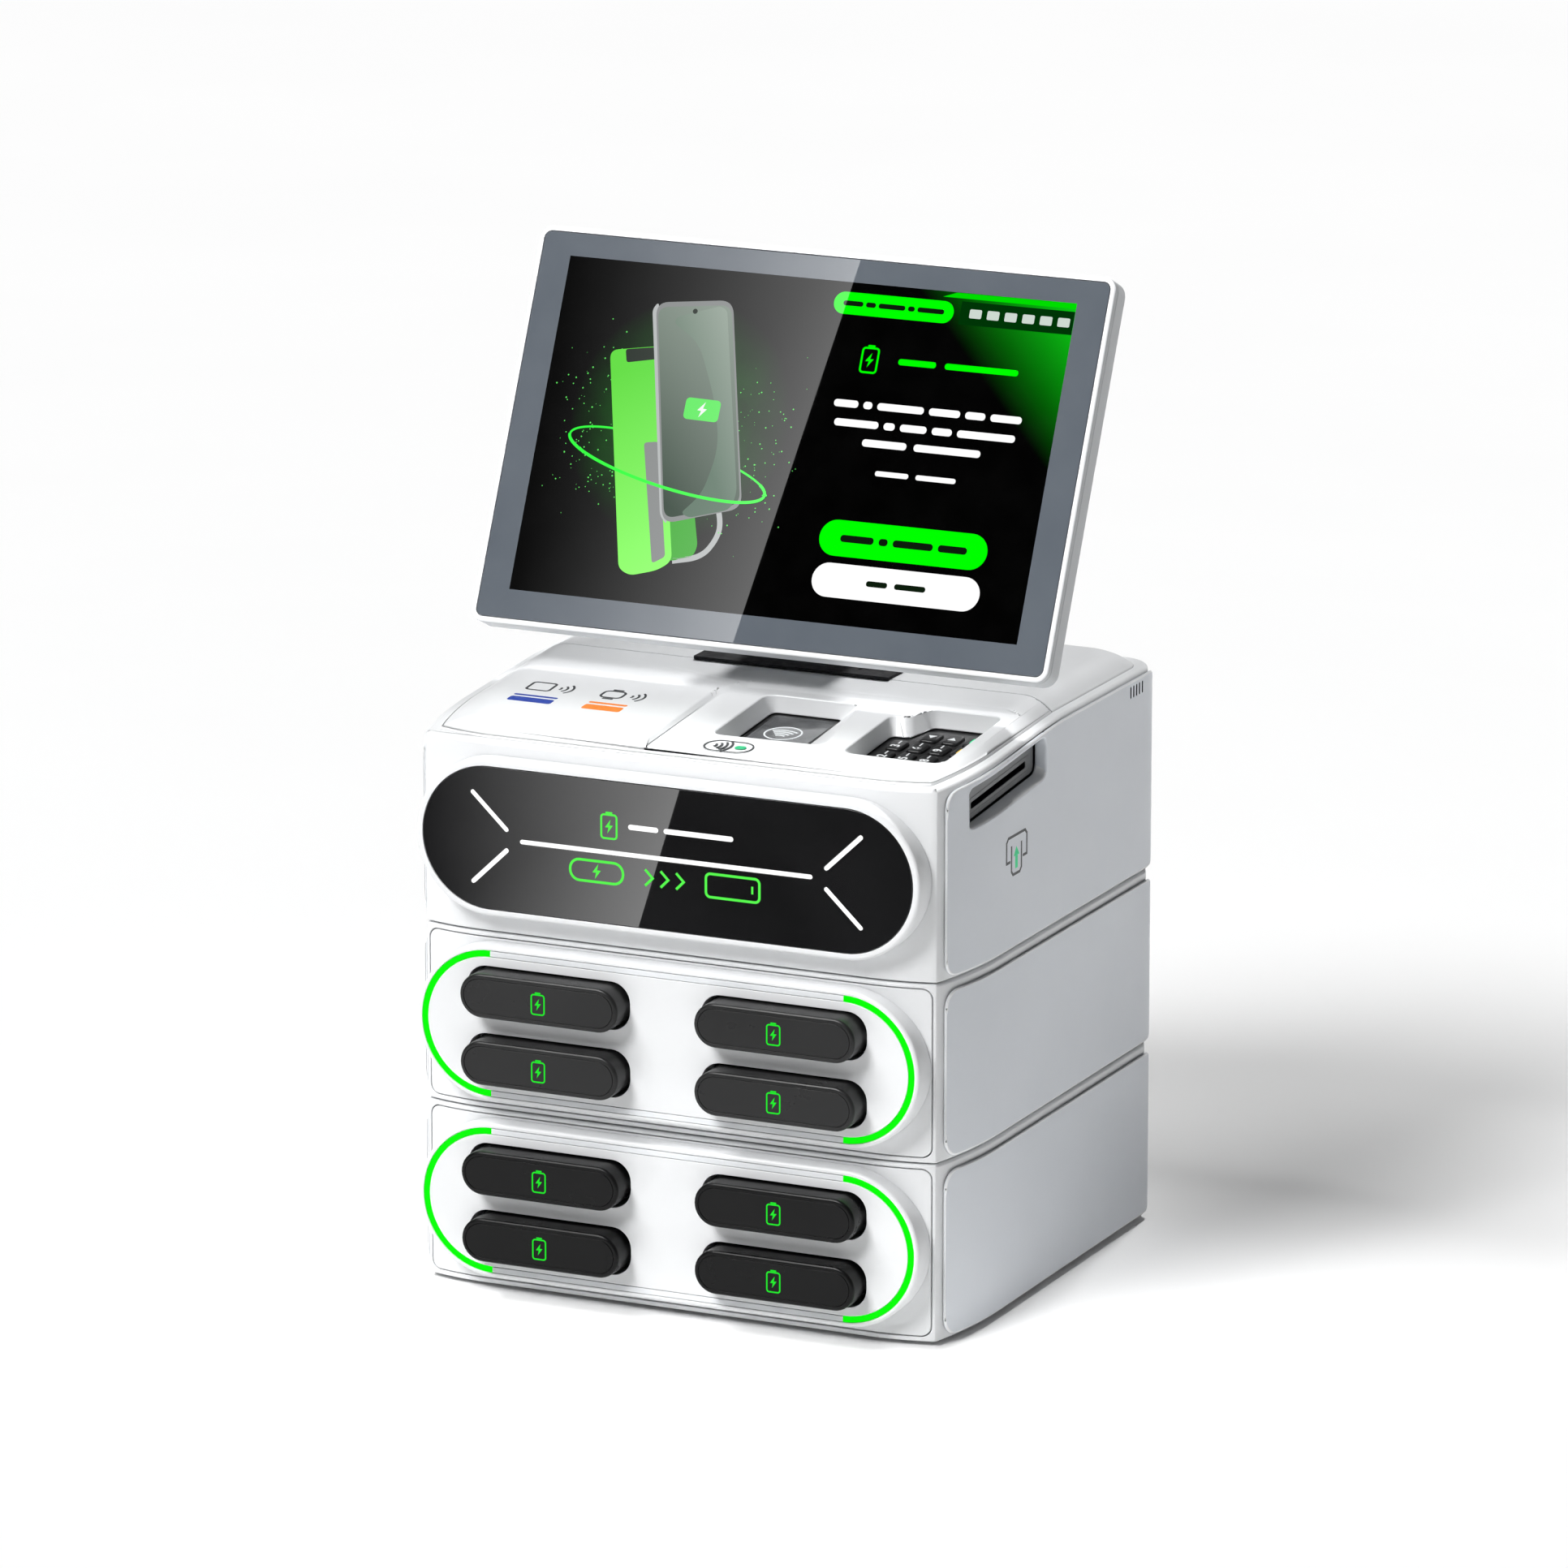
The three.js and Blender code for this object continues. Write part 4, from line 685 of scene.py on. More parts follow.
WHITE = moulded("white_plastic", (0.775, 0.785, 0.795), 0.36, 0.01, 0.10, coat=0.12)
# The covers are the shell's white plastic; this colour is set a little darker and bluer than it, painted
# shade for the shade their sides stand in.
COVER_WHITE_AND_PAINTED_SHADE = moulded("cover_white_and_painted_shade", (0.72, 0.75, 0.79), 0.42, 0.012, 0.14)
# Grey of the screen's back shell; it is also given to the sideways faces of the screen's rim as painted shade
# on them.
SHELL_GREY_AND_PAINTED_SIDE_SHADE = moulded("screen_shell_grey_and_painted_side_shade", (0.53, 0.545, 0.56), 0.4, 0.012, 0.12)
# Brighter white used as a painted highlight: on the covers' rounded rims, on the card mouth's upward sill
# faces and on the front of the screen's rim.
RIM_WHITE_AND_PAINTED_HIGHLIGHT = moulded("rim_white_and_painted_highlight", (0.86, 0.87, 0.88), 0.32, 0.01, 0.06)
SATIN_BLACK = moulded("satin_black_plastic", (0.022, 0.022, 0.023), 0.42, 0.1, 0.25, worn=0.5)
UPPER_BANK = moulded("bank_black_plastic", (0.014, 0.014, 0.0143), 0.3, 0.05, 0.06, specular=0.3)
LOWER_BANK = moulded("bank_dark_plastic", (0.003, 0.003, 0.0032), 0.3, 0.05, 0.06, specular=0.2)
TERMINAL_BLACK = moulded("terminal_black_plastic", (0.012, 0.012, 0.0125), 0.4, 0.1, 0.25)
KEY_BLACK = moulded("key_black_plastic", (0.007, 0.007, 0.0075), 0.36, 0.1, 0.2)
CAGE = moulded("cage_plastic", (0.02, 0.02, 0.022), 0.55, 0.1, 0.3)
MOUTH_GREY = moulded("mouth_grey_plastic", (0.16, 0.165, 0.17), 0.45, 0.06, 0.25)
PANEL_BLACK = gloss_black("panel_gloss_black")
GREEN_RING = ring_material()
PALE_GREEN_LIGHT = lit_material("pale_green_light", (0.09, 0.9, 0.07))
WHITE_LIGHT = lit_material("white_light", (1.0, 1.0, 1.0), 1.15)
RUBBER = rubber_material()
STEEL = metal_material("brushed_steel", (0.5, 0.51, 0.53), 0.34)
ALUMINIUM = metal_material("satin_aluminium", (0.72, 0.73, 0.75), 0.38, (60, 1, 60))
BOARD = board_material()
GLASS = glass_material()
BORDER = border_material()
DISPLAY_GLASS = display_material()
DARK_INK = ink_material("dark_ink", (0.045, 0.048, 0.052))
GREEN_INK = ink_material("green_ink", (0.01, 0.42, 0.17))
BLUE_INK = ink_material("blue_ink", (0.01, 0.045, 0.34))
AMBER_INK = ink_material("amber_ink", (0.85, 0.22, 0.015))
ARROW_INK = ink_material("arrow_ink", (0.005, 0.8, 0.3))
YELLOW_INK = ink_material("yellow_ink", (0.95, 0.66, 0.02))
KEY_GREEN_INK = ink_material("key_green_ink", (0.01, 0.72, 0.3))
# Printed key legends made to glow: painted light that keeps them bright in the shade of the key well.
LEGEND_PAINTED_GLOW = lit_material("legend_painted_glow", (0.78, 0.8, 0.81), 1.0)
READER_LIGHT = lit_material("reader_light", (0.86, 0.9, 0.92), 1.0)
BANK_GREEN = lit_material("bank_mark_green", (0.01, 0.8, 0.02), 1.0)


# ---------- pieces ----------
def dress(obj, *materials, slot=0):
    """Gives the object its materials; all its faces take the one in the given slot."""
    obj.data.materials.clear()
    for material in materials:
        obj.data.materials.append(material)
    if slot:
        obj.data.polygons.foreach_set("material_index", [slot] * len(obj.data.polygons))
    return obj


def piece(obj, node, body="kiosk"):
    """The object stands for the CAD node and moves with its body."""
    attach(obj, body)
    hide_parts(node)
    return obj


def extra(obj, body="kiosk"):
    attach(obj, body)
    return obj


def slot_outlines(z):
    """Plans of a module's four bank slots, in its front's plane."""
    rows = [span("lower_power_bank_top_left"), span("lower_power_bank_bottom_left")]
    half_pitch = (rows[0][0].z - rows[1][0].z) / 2
    column = -(rows[0][0].x + rows[0][1].x) / 2
    shape = rounded_rect(-SLOT_WIDTH / 2, SLOT_WIDTH / 2, -SLOT_HEIGHT / 2, SLOT_HEIGHT / 2, SLOT_CORNER)
    return [moved(shape, sx * column, z + sz * half_pitch) for sx in (-1, 1) for sz in (-1, 1)]


def rounded_skin(name, z0, z1, top=TOP_ROUND, bottom=BOTTOM_ROUND, steps=5):
    """The body's outer skin between two heights, with a round lower and upper edge."""
    turns = [(1 - math.sin(a), 1 - math.cos(a)) for a in quarter_turns(steps)]
    rings = [[(x, y, z0 + bottom * up) for x, y in inset(bottom * away)] for away, up in turns]
    rings += [[(x, y, z1 - top * down) for x, y in inset(top * away)] for down, away in turns]
    return loft(name, rings)


def band(outer, inner, z0, z1, name="tool"):
    return cut(prism_z(inset(outer), z0, z1, name), prism_z(inset(inner), z0 - 1, z1 + 1))


def window_outline(name, grow):
    low, high = span(name + "_front_plate")
    return rounded_rect(low.x - grow, high.x + grow, low.z - grow, high.z + grow, PLATE_CORNER + grow)


def add_housing(name):
    low, high = span(name + "_housing")
    shell = rounded_skin(name + "_housing_shell", low.z, high.z)
    cut(
        shell,
        prism_z(inset(WALL), low.z - 1, high.z - TOP_PLATE),
        prism_y(window_outline(name, 0.5), FRONT_Y - 10, FRONT_Y + 20),
    )
    dress(shell, WHITE)
    polish(soften(shell, 0.35, 2))
    piece(shell, name + "_housing")


def mouth_edge_share(a, b):
    """Only the card mouth's outer edge is rounded."""
    for p in (a, b):
        low_enough = MOUTH_EDGE_LOW < p.z < deck_height(p.y) - MOUTH_TOP + 0.5
        if not (MOUTH_Y0 - 1 < p.y < MOUTH_Y1 + 1 and low_enough and p.x > HALF_WIDTH - 5):
            return 0.0
    return 1.0 if nearest_outline(np.array([a[:2], b[:2]]))[0].min() > 1.0 else 0.0


def add_cover(node, outline, liner=None, mouth=None, slits=()):
    """Side cover: a curved sheet over the module's side with rounded corners and a painted highlight along
    its rim; its face colour is the shell's white made darker and bluer as painted shade.
    """
    low, high = span(node)
    side = 1 if low.x > 0 else -1
    sheet = band(-GAP - COVER_THICKNESS, -GAP, low.z - 1, high.z + 1, node + "_panel")
    meet(sheet, prism_x(outline, side * 100, side * 140))
    # Slot 0 is the covers' white with painted shade, slot 1 the bright white for painted highlights, slot 2
    # satin black for the vent slits.
    materials = (COVER_WHITE_AND_PAINTED_SHADE, RIM_WHITE_AND_PAINTED_HIGHLIGHT, SATIN_BLACK)
    dress(sheet, *materials)
    # The rounding round the cover's edge takes the bright white in slot 1: a painted highlight where the edge
    # would catch the light.
    soften(sheet, 0.8, 3, highlight_slot=1)
    if liner is not None:
        join(sheet, dress(liner, *materials))
        cut(sheet, dress(mouth, *materials))

        soften(sheet, 0.9, 3, 50, share=mouth_edge_share)
        # Faces of the mouth's sill that point up take the bright white in slot 1: a painted highlight,
        # lighter because they face up into the light.
        for face in sheet.data.polygons:
            middle = face.center / MM
            below_terminal = MOUTH_LOWEST < middle.z < deck_height(middle.y) - MOUTH_SILL_DROP
            if face.normal.z > 0.3 and MOUTH_Y0 < middle.y < MOUTH_Y1 and below_terminal:
                face.material_index = 1
    if slits:
        cut(sheet, *[dress(slit, *materials, slot=2) for slit in slits])
    polish(sheet)
    piece(sheet, node)


def add_battery_covers(name):
    for side in ("left", "right"):
        node = f"{name}_{side}_cover"
        low, high = span(node)
        add_cover(node, rounded_rect(low.y, high.y, low.z, high.z, COVER_CORNER, 12))


def add_front_plate(name, z):
    sheet = band(0, PLATE_THICKNESS, z - 45, z + 45, name + "_front_panel")
    meet(sheet, prism_y(window_outline(name, 0), FRONT_Y - 5, FRONT_Y + 15))
    cut(sheet, *[prism_y(slot, FRONT_Y - 5, FRONT_Y + 15) for slot in slot_outlines(z)])
    dress(sheet, WHITE)
    polish(soften(sheet, 0.3, 2))
    piece(sheet, name + "_front_plate")


def pill_ring(half_length, radius, y, z):
    return [(x, y, z + dz) for x, dz in stadium(half_length, radius)]


def pill_prism(half_length, radius, z, y0, y1, name="tool"):
    return loft(name, [pill_ring(half_length, radius, y, z) for y in (y0, y1)])


def pill_blank(name, z):
    """Pill with a rounded face edge, its back cut to the curve of the housing behind it."""
    rings = []
    for a in quarter_turns(6):
        d = PILL_ROUND * (1 - math.sin(a))
        y = PILL_FACE_Y + PILL_ROUND * (1 - math.cos(a))
        rings.append(pill_ring(PILL_HALF_LENGTH - d, PILL_RADIUS - d, y, z))
    rings.append(pill_ring(PILL_HALF_LENGTH, PILL_RADIUS, FRONT_Y + 10, z))
    return cut(loft(name, rings), prism_z(inset(-GAP), z - 50, z + 50))


def ring_band(z, play, front, back, name="tool"):
    """The light ring's band between two depths behind the pill's face, widened all round by some play."""
    outer = PILL_HALF_LENGTH - RING_OFFSET + play
    inner = PILL_HALF_LENGTH - RING_OFFSET - RING_WIDTH - play
    hole = pill_prism(inner, RING_RADIUS - RING_WIDTH - play, z, PILL_FACE_Y + front - 1, PILL_FACE_Y + 5)
    return cut(pill_prism(outer, RING_RADIUS + play, z, PILL_FACE_Y + front, PILL_FACE_Y + back, name), hole)


def add_pill_bezel(name, z):
    blank = pill_blank(name + "_pill", z)
    slots = [prism_y(slot, PILL_FACE_Y - 5, FRONT_Y + 15) for slot in slot_outlines(z)]
    cut(blank, ring_band(z, 0.25, -1, RING_DEPTH + GAP), *slots)
    dress(blank, WHITE)
    soften(blank, 0.22, 2)
    piece(blank, name + "_pill_bezel")


def add_light_ring(name, z):
    ring = ring_band(z, 0, 0, RING_DEPTH, name + "_ring_light")
    dress(ring, GREEN_RING)
    soften(ring, 0.12, 2)
    piece(ring, name + "_light_ring")


def add_bank(node, material):
    low, high = span(node)
    cx, cz = (low.x + high.x) / 2, (low.z + high.z) / 2
    half, radius = (high.x - low.x) / 2, (high.z - low.z) / 2

    def ring(d, y):
        return [(cx + x, y, cz + z) for x, z in stadium(half - d, radius - d, 18)]

    turns = [(BANK_ROUND * (1 - math.sin(a)), BANK_ROUND * (1 - math.cos(a))) for a in quarter_turns(6)]
    rings = [ring(away, low.y + back) for away, back in turns]
    rings += [ring(away, high.y - back) for back, away in turns]
    case = loft(node + "_case", rings)
    line = cut(
        loft("tool", [ring(BANK_LINE_INSET, low.y + y) for y in (-1, 0.35)]),
        loft("tool", [ring(BANK_LINE_INSET + 0.3, low.y + y) for y in (-2, 1)]),
    )
    socket = prism_y(rounded_rect(cx - 6, cx + 6, cz - 2, cz + 2, 1.2, 4), high.y - 5, high.y + 1)
    cut(case, line, socket)
    dress(case, material)
    soften(case, 0.12, 2)
    piece(case, node, node)
    mark(node + "_mark", battery_symbol(4.7, 0.6), front_face(cx, low.y, cz), BANK_GREEN, node)


# ---------- flat marks ----------
def ribbon(points, width, closed=False):
    """Quads of a flat line of constant width along the points."""
    count = len(points)
    sides = []
    for i, point in enumerate(points):
        here = Vector(point)
        directions = []
        if closed or i > 0:
            directions.append((here - Vector(points[i - 1])).normalized())
        if closed or i < count - 1:
            directions.append((Vector(points[(i + 1) % count]) - here).normalized())
        along = sum(directions, Vector((0, 0)))
        along.normalize()
        normal = Vector((-along.y, along.x))
        stretch = 1 / max(0.5, abs(normal.dot(Vector((-directions[0].y, directions[0].x)))))
        offset = normal * (width / 2 * stretch)
        sides.append((here + offset, here - offset))
    last = count if closed else count - 1
    pairs = [(sides[i], sides[(i + 1) % count]) for i in range(last)]
    return [[start[0], start[1], end[1], end[0]] for start, end in pairs]


def stadium_patch(x0, x1, y0, y1, steps=8):
    return moved(stadium((x1 - x0) / 2, (y1 - y0) / 2 - 1e-4, steps), (x0 + x1) / 2, (y0 + y1) / 2)


def bolt(size):
    return [(x * size, y * size) for x, y in
            ((0.12, 0.5), (-0.3, -0.08), (-0.04, -0.08), (-0.12, -0.5), (0.3, 0.08), (0.04, 0.08))]


def battery_symbol(size, line):
    """Upright battery outline with a bolt in it, as patches round the origin; size is half its height."""
    body = rounded_rect(-0.62 * size, 0.62 * size, -size, 0.78 * size, 0.22 * size, 5)
    cap = rounded_rect(-0.28 * size, 0.28 * size, 0.86 * size, size, 0.05 * size, 2)
    return ribbon(body, line, True) + [cap, moved(bolt(1.05 * size), 0, -0.1 * size)]


def turned(patches, angle=0.0, dx=0.0, dy=0.0, scale=1.0):
    c, s = math.cos(angle) * scale, math.sin(angle) * scale
    return [[(p[0] * c - p[1] * s + dx, p[0] * s + p[1] * c + dy) for p in patch] for patch in patches]


def mark(name, patches, matrix, material, body="kiosk", thickness=0.06, lift=0.0):
    """Thin flat patches on a plane that a matrix in millimetres places: x and y in the plane, z out of it."""
    points, faces = [], []
    for patch in patches:
        start, count = len(points), len(patch)
        area = sum(patch[i - 1][0] * patch[i][1] - patch[i][0] * patch[i - 1][1] for i in range(count))
        ordered = list(patch) if area > 0 else list(reversed(patch))
        for z in (lift - 0.02, lift + thickness):
            points += [(p[0], p[1], z) for p in ordered]
        faces.append(tuple(start + i for i in reversed(range(count))))
        faces.append(tuple(start + count + i for i in range(count)))
        for i in range(count):
            j = (i + 1) % count
            faces.append((start + i, start + j, start + count + j, start + count + i))
    mesh = bpy.data.meshes.new(name)
    mesh.from_pydata([(matrix @ Vector(p)) * MM for p in points], [], faces)
    return extra(dress(place(name, mesh), material), body)


def front_face(x, y, z):
    """Plane that faces the front at a point: local x runs along it, local y goes up it."""
    return Matrix(((1, 0, 0, x), (0, 0, -1, y), (0, 1, 0, z), (0, 0, 0, 1)))


def deck_matrix(x, y, drop=0.0):
    """Plane on the sloping deck at (x, y): local x is the frame's x, local z is the deck's normal."""
    slope = TERMINAL_TILT if y < SEAM_Y else 0.0
    return Matrix.Translation((x, y, deck_height(y) - drop)) @ Matrix.Rotation(slope, 4, "X")


# ---------- base, batteries ----------
def add_base():
    dress(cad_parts["base_plate"], STEEL)
    for corner in ("front_left", "front_right", "rear_left", "rear_right"):
        node = "foot_" + corner
        low, high = span(node)
        cx, cy, radius = (low.x + high.x) / 2, (low.y + high.y) / 2, (high.x - low.x) / 2
        profile = [(radius - 1.2, 0.0), (radius - 0.4, 0.25), (radius, 0.9), (radius, high.z)]
        foot = loft(node + "_pad", [[(x, y, z) for x, y in circle(cx, cy, r, 40)] for r, z in profile])
        dress(foot, RUBBER)
        soften(foot, 0.1, 1)
        piece(foot, node)


def add_battery_module(name, bank_material):
    low, high = span(name + "_pill_bezel")
    z = (low.z + high.z) / 2
    add_housing(name)
    add_battery_covers(name)
    add_front_plate(name, z)
    add_pill_bezel(name, z)
    add_light_ring(name, z)
    for row in ("top", "bottom"):
        for column in ("left", "right"):
            add_bank(f"{name}_power_bank_{row}_{column}", bank_material)


# ---------- head ----------
MOUTH_Y0 = -76.5
MOUTH_Y1 = -4
MOUTH_TOP = 9.4
MOUTH_SILL_OUTER = 28.5
MOUTH_SILL_INNER = 24.8
MOUTH_SILL_DROP = 15
MOUTH_EDGE_LOW = 208.5
MOUTH_LOWEST = 180
MOUTH_WALL = 2
MOUTH_INNER_X = span("head_right_cover")[0].x + 1.1
VENT_COUNT = 5
VENT_PITCH = 3.05
VENT_FIRST_Y = 83.8
VENT_END_Y = VENT_FIRST_Y + VENT_COUNT * VENT_PITCH
VENT_WIDTH = 1.2
VENT_LOW, VENT_HIGH = 232.6, 237.8


def card_mouth(x0, x1, grow):
    """The mouth's hollow between two x planes; its sill drops towards the outside."""
    def edge(x, sill):
        corners = [
            (MOUTH_Y0 - grow, deck_height(MOUTH_Y0) - MOUTH_TOP + grow),
            (MOUTH_Y1 + grow, deck_height(MOUTH_Y1) - MOUTH_TOP + grow),
            (MOUTH_Y1 + grow, deck_height(MOUTH_Y1) - sill - grow),
            (MOUTH_Y0 - grow, deck_height(MOUTH_Y0) - sill - grow),
        ]
        return [(x, y, z) for y, z in round_corners(corners, 4.5, 6)]

    inner = MOUTH_SILL_OUTER if grow > 0 else MOUTH_SILL_INNER
    return loft("tool", [edge(x0, inner), edge(x1, MOUTH_SILL_OUTER)])


def vent_cutters(side, depth):
    cutters = []
    for i in range(VENT_COUNT):
        y = VENT_FIRST_Y + i * VENT_PITCH
        half = VENT_WIDTH / 2
        outline = rounded_rect(y - half, y + half, VENT_LOW, VENT_HIGH, half - 0.01, 4)
        cutters.append(prism_x(outline, side * (HALF_WIDTH - depth), side * (HALF_WIDTH + 6)))
    return cutters


def inlet_middle():
    low, high = span("power_inlet")
    return (low.x + high.x) / 2, (low.z + high.z) / 2


def inlet_outline(grow):
    cx, cz = inlet_middle()
    return rounded_rect(cx - 15 - grow, cx + 15 + grow, cz - 10.5 - grow, cz + 10.5 + grow, 3)


def add_head_housing():
    low = span("head_housing")[0]
    skin = rounded_skin("head_housing_shell", low.z, DECK_REAR_Z, 0.01)
    cavity_top = rim_height(FRONT_Y) - 8
    above = [(-200, rim_height(-200)), (SEAM_Y, RIM_REAR_Z), (200, RIM_REAR_Z), (200, 300), (-200, 300)]
    pocket = band(-5, WALL / 2, VENT_LOW - 1, VENT_HIGH + 1)
    meet(pocket, block(-140, 140, VENT_FIRST_Y - 2, VENT_END_Y - 1, 200, 260))
    cut(
        skin,
        prism_z(inset(WALL), low.z + TOP_PLATE, cavity_top),
        prism_z(inset(DECK_INSET - DECK_PLAY), cavity_top - 0.5, 300),
        prism_x(above, -150, 150),
        card_mouth(MOUTH_INNER_X - 6, 130, MOUTH_WALL + 0.4),
        prism_y(inlet_outline(0.4), REAR_Y - 10, REAR_Y + 5),
        pocket,
    )
    dress(skin, WHITE)

    def share(a, b):
        """The rim's outer edge is rounded widely, every other edge a little."""
        on_skin = nearest_outline(np.array([a[:2], b[:2]]))[0].max() < 0.05
        return 1.0 if on_skin and min(a.z - rim_height(a.y), b.z - rim_height(b.y)) > -0.2 else 0.08

    polish(soften(skin, 1.7, 4, share=share))
    piece(skin, "head_housing")
    for side in (-1, 1):
        name = "vent_mesh_left" if side < 0 else "vent_mesh_right"
        backing = band(0.6, 1.1, VENT_LOW - 0.8, VENT_HIGH + 0.8, name)
        x0, x1 = sorted((side * 100, side * 140))
        meet(backing, block(x0, x1, VENT_FIRST_Y - 1.6, VENT_END_Y - 1.4, 200, 260))
        dress(backing, SATIN_BLACK)
        extra(backing)


def cover_top(y):
    return HEAD_COVER_REAR_Z + HEAD_COVER_SLOPE * min(0, y - HEAD_COVER_BEND_Y)


def add_head_covers():
    for side, node in ((-1, "head_left_cover"), (1, "head_right_cover")):
        low, high = span(node)
        straight = [(low.y, low.z), (high.y, low.z)]
        straight += [(y, cover_top(y)) for y in (high.y, HEAD_COVER_BEND_Y, low.y)]
        liner, mouth = None, None
        if side > 0:
            liner = card_mouth(MOUTH_INNER_X, HALF_WIDTH + 0.9, MOUTH_WALL)
            meet(liner, prism_z(inset(-GAP - COVER_THICKNESS + 0.02), low.z, 260))
            mouth = card_mouth(MOUTH_INNER_X - 1, 130, 0)
        add_cover(node, round_corners(straight, COVER_CORNER, 12), liner, mouth, vent_cutters(side, 0))


def add_mouth_back():
    """Grey end face of the terminal round its card slot, seen at the bottom of the mouth."""
    x = span("terminal_body")[1].x

    def sheet(y0, y1, top, foot, x0, x1, corner, name="tool"):
        """Plate along the deck's slope between two drops below the deck."""
        corners = [(y, deck_plane(y) - drop) for y, drop in ((y0, top), (y1, top), (y1, foot), (y0, foot))]
        return prism_x(round_corners(corners, corner, 5), x + x0, x + x1, name)

    plate = sheet(-74, -5.4, 10.2, 24.4, 0.15, 0.55, 2.5, "card_slot_surround")
    grooves = [sheet(-70.5, -10, top, top + 0.4, 0.35, 2, 0.1) for top in (21.9, 15.6)]
    cut(plate, sheet(-67.6, -12.8, 17.7, 20.5, -1, 2, 0.8), *grooves)
    dress(plate, MOUTH_GREY)
    soften(plate, 0.12, 1)
    extra(plate)


PLATFORM = ((-17, -140), (140, -140), (140, -4), (-10, -8), (-17, -20))
DISPLAY_WINDOW_TOP = ((1, -66.5), (51.5, -65), (44, -13), (1, -13))
DISPLAY_WINDOW_FOOT = ((4.6, -63), (36, -63), (36, -13.6), (4.6, -13.6))
KEY_WINDOW_TOP = ((61.5, -71), (106.4, -71), (106.4, -8.5), (74, -8.5), (69.5, -21.5), (61.5, -21.5))
KEY_WINDOW_FOOT = ((63.8, -58), (106, -58), (106, -10.6), (76, -10.6), (72, -25.6), (63.8, -25.6))
WELL_FOOT_DROP = TERMINAL_DROP - 0.4
CROWN_STEPS = 12
CROWN_REACH = 13
CROWN_POWER = 2.3


def deck_blank(name, rim, deck):
    """One half of the deck: it crowns up from the rim to the deck's plane and is hollow underneath."""
    def ring(distance, height):
        return [(x, y, height(y)) for x, y in inset(distance)]

    outer = [
        ring(DECK_INSET, lambda y: rim(y) - 3),
        ring(DECK_INSET, lambda y: rim(y) + 0.2),
        ring(DECK_INSET + 0.25, lambda y: rim(y) + 0.65),
    ]
    for i in range(CROWN_STEPS + 1):
        t = i / CROWN_STEPS
        k = 1 - (1 - t) ** CROWN_POWER
        inward = DECK_INSET + 0.7 + CROWN_REACH * t
        outer.append(ring(inward, lambda y: (1 - k) * (rim(y) + 0.95) + k * deck(y)))
    inner = [
        ring(DECK_INSET + 2.8, lambda y: rim(y) - 4),
        ring(DECK_INSET + 2.8, lambda y: rim(y) - 1.5),
        ring(DECK_INSET + 15, lambda y: deck(y) - DECK_THICKNESS),
    ]
    return cut(loft(name, outer), loft("tool", inner))


def window_well(top, foot, grow, top_drop, foot_drop):
    """A window that narrows downwards; grow makes the block that its walls are cut from."""
    def widened(points):
        cx = sum(p[0] for p in points) / len(points)
        cy = sum(p[1] for p in points) / len(points)
        return [(x + grow * (1 if x > cx else -1), y + grow * (1 if y > cy else -1)) for x, y in points]

    def ring(points, drop, corner):
        return [(x, y, deck_plane(y) - drop) for x, y in round_corners(widened(points), corner, 8)]

    return loft("tool", [ring(foot, foot_drop, 3), ring(top, top_drop, 6)])


def add_deck_front():
    blank = deck_blank("front_deck", rim_plane, deck_plane)
    meet(blank, block(-150, 150, -150, SEAM_Y - 0.15, 200, 260))
    platform = round_corners(PLATFORM, 14, 12)
    wide = [(x - LEDGE_SLOPE if x < 60 else x, y + LEDGE_SLOPE if y > -60 else y) for x, y in platform]
    levels = ((platform, -PLATFORM_DEPTH), (wide, 0), (wide, 20))
    cut(blank, loft("tool", [[(x, y, deck_plane(y) + up) for x, y in outline] for outline, up in levels]))
    windows = ((DISPLAY_WINDOW_TOP, DISPLAY_WINDOW_FOOT), (KEY_WINDOW_TOP, KEY_WINDOW_FOOT))
    join(blank, *[window_well(*window, 1.6, PLATFORM_DEPTH + 1, WELL_FOOT_DROP) for window in windows])
    cut(blank, *[window_well(*window, 0, PLATFORM_DEPTH - 0.1, WELL_FOOT_DROP + 0.1) for window in windows])
    dress(blank, WHITE)
    soften(blank, 0.7, 3, 24)
    piece(blank, "deck_front")


def add_deck_rear():
    blank = deck_blank("rear_deck", lambda y: RIM_REAR_Z, lambda y: DECK_REAR_Z)
    meet(blank, block(-150, 150, SEAM_Y + 0.15, 150, 200, 260))
    dress(blank, WHITE)
    soften(blank, 0.3, 2)
    piece(blank, "deck_rear")


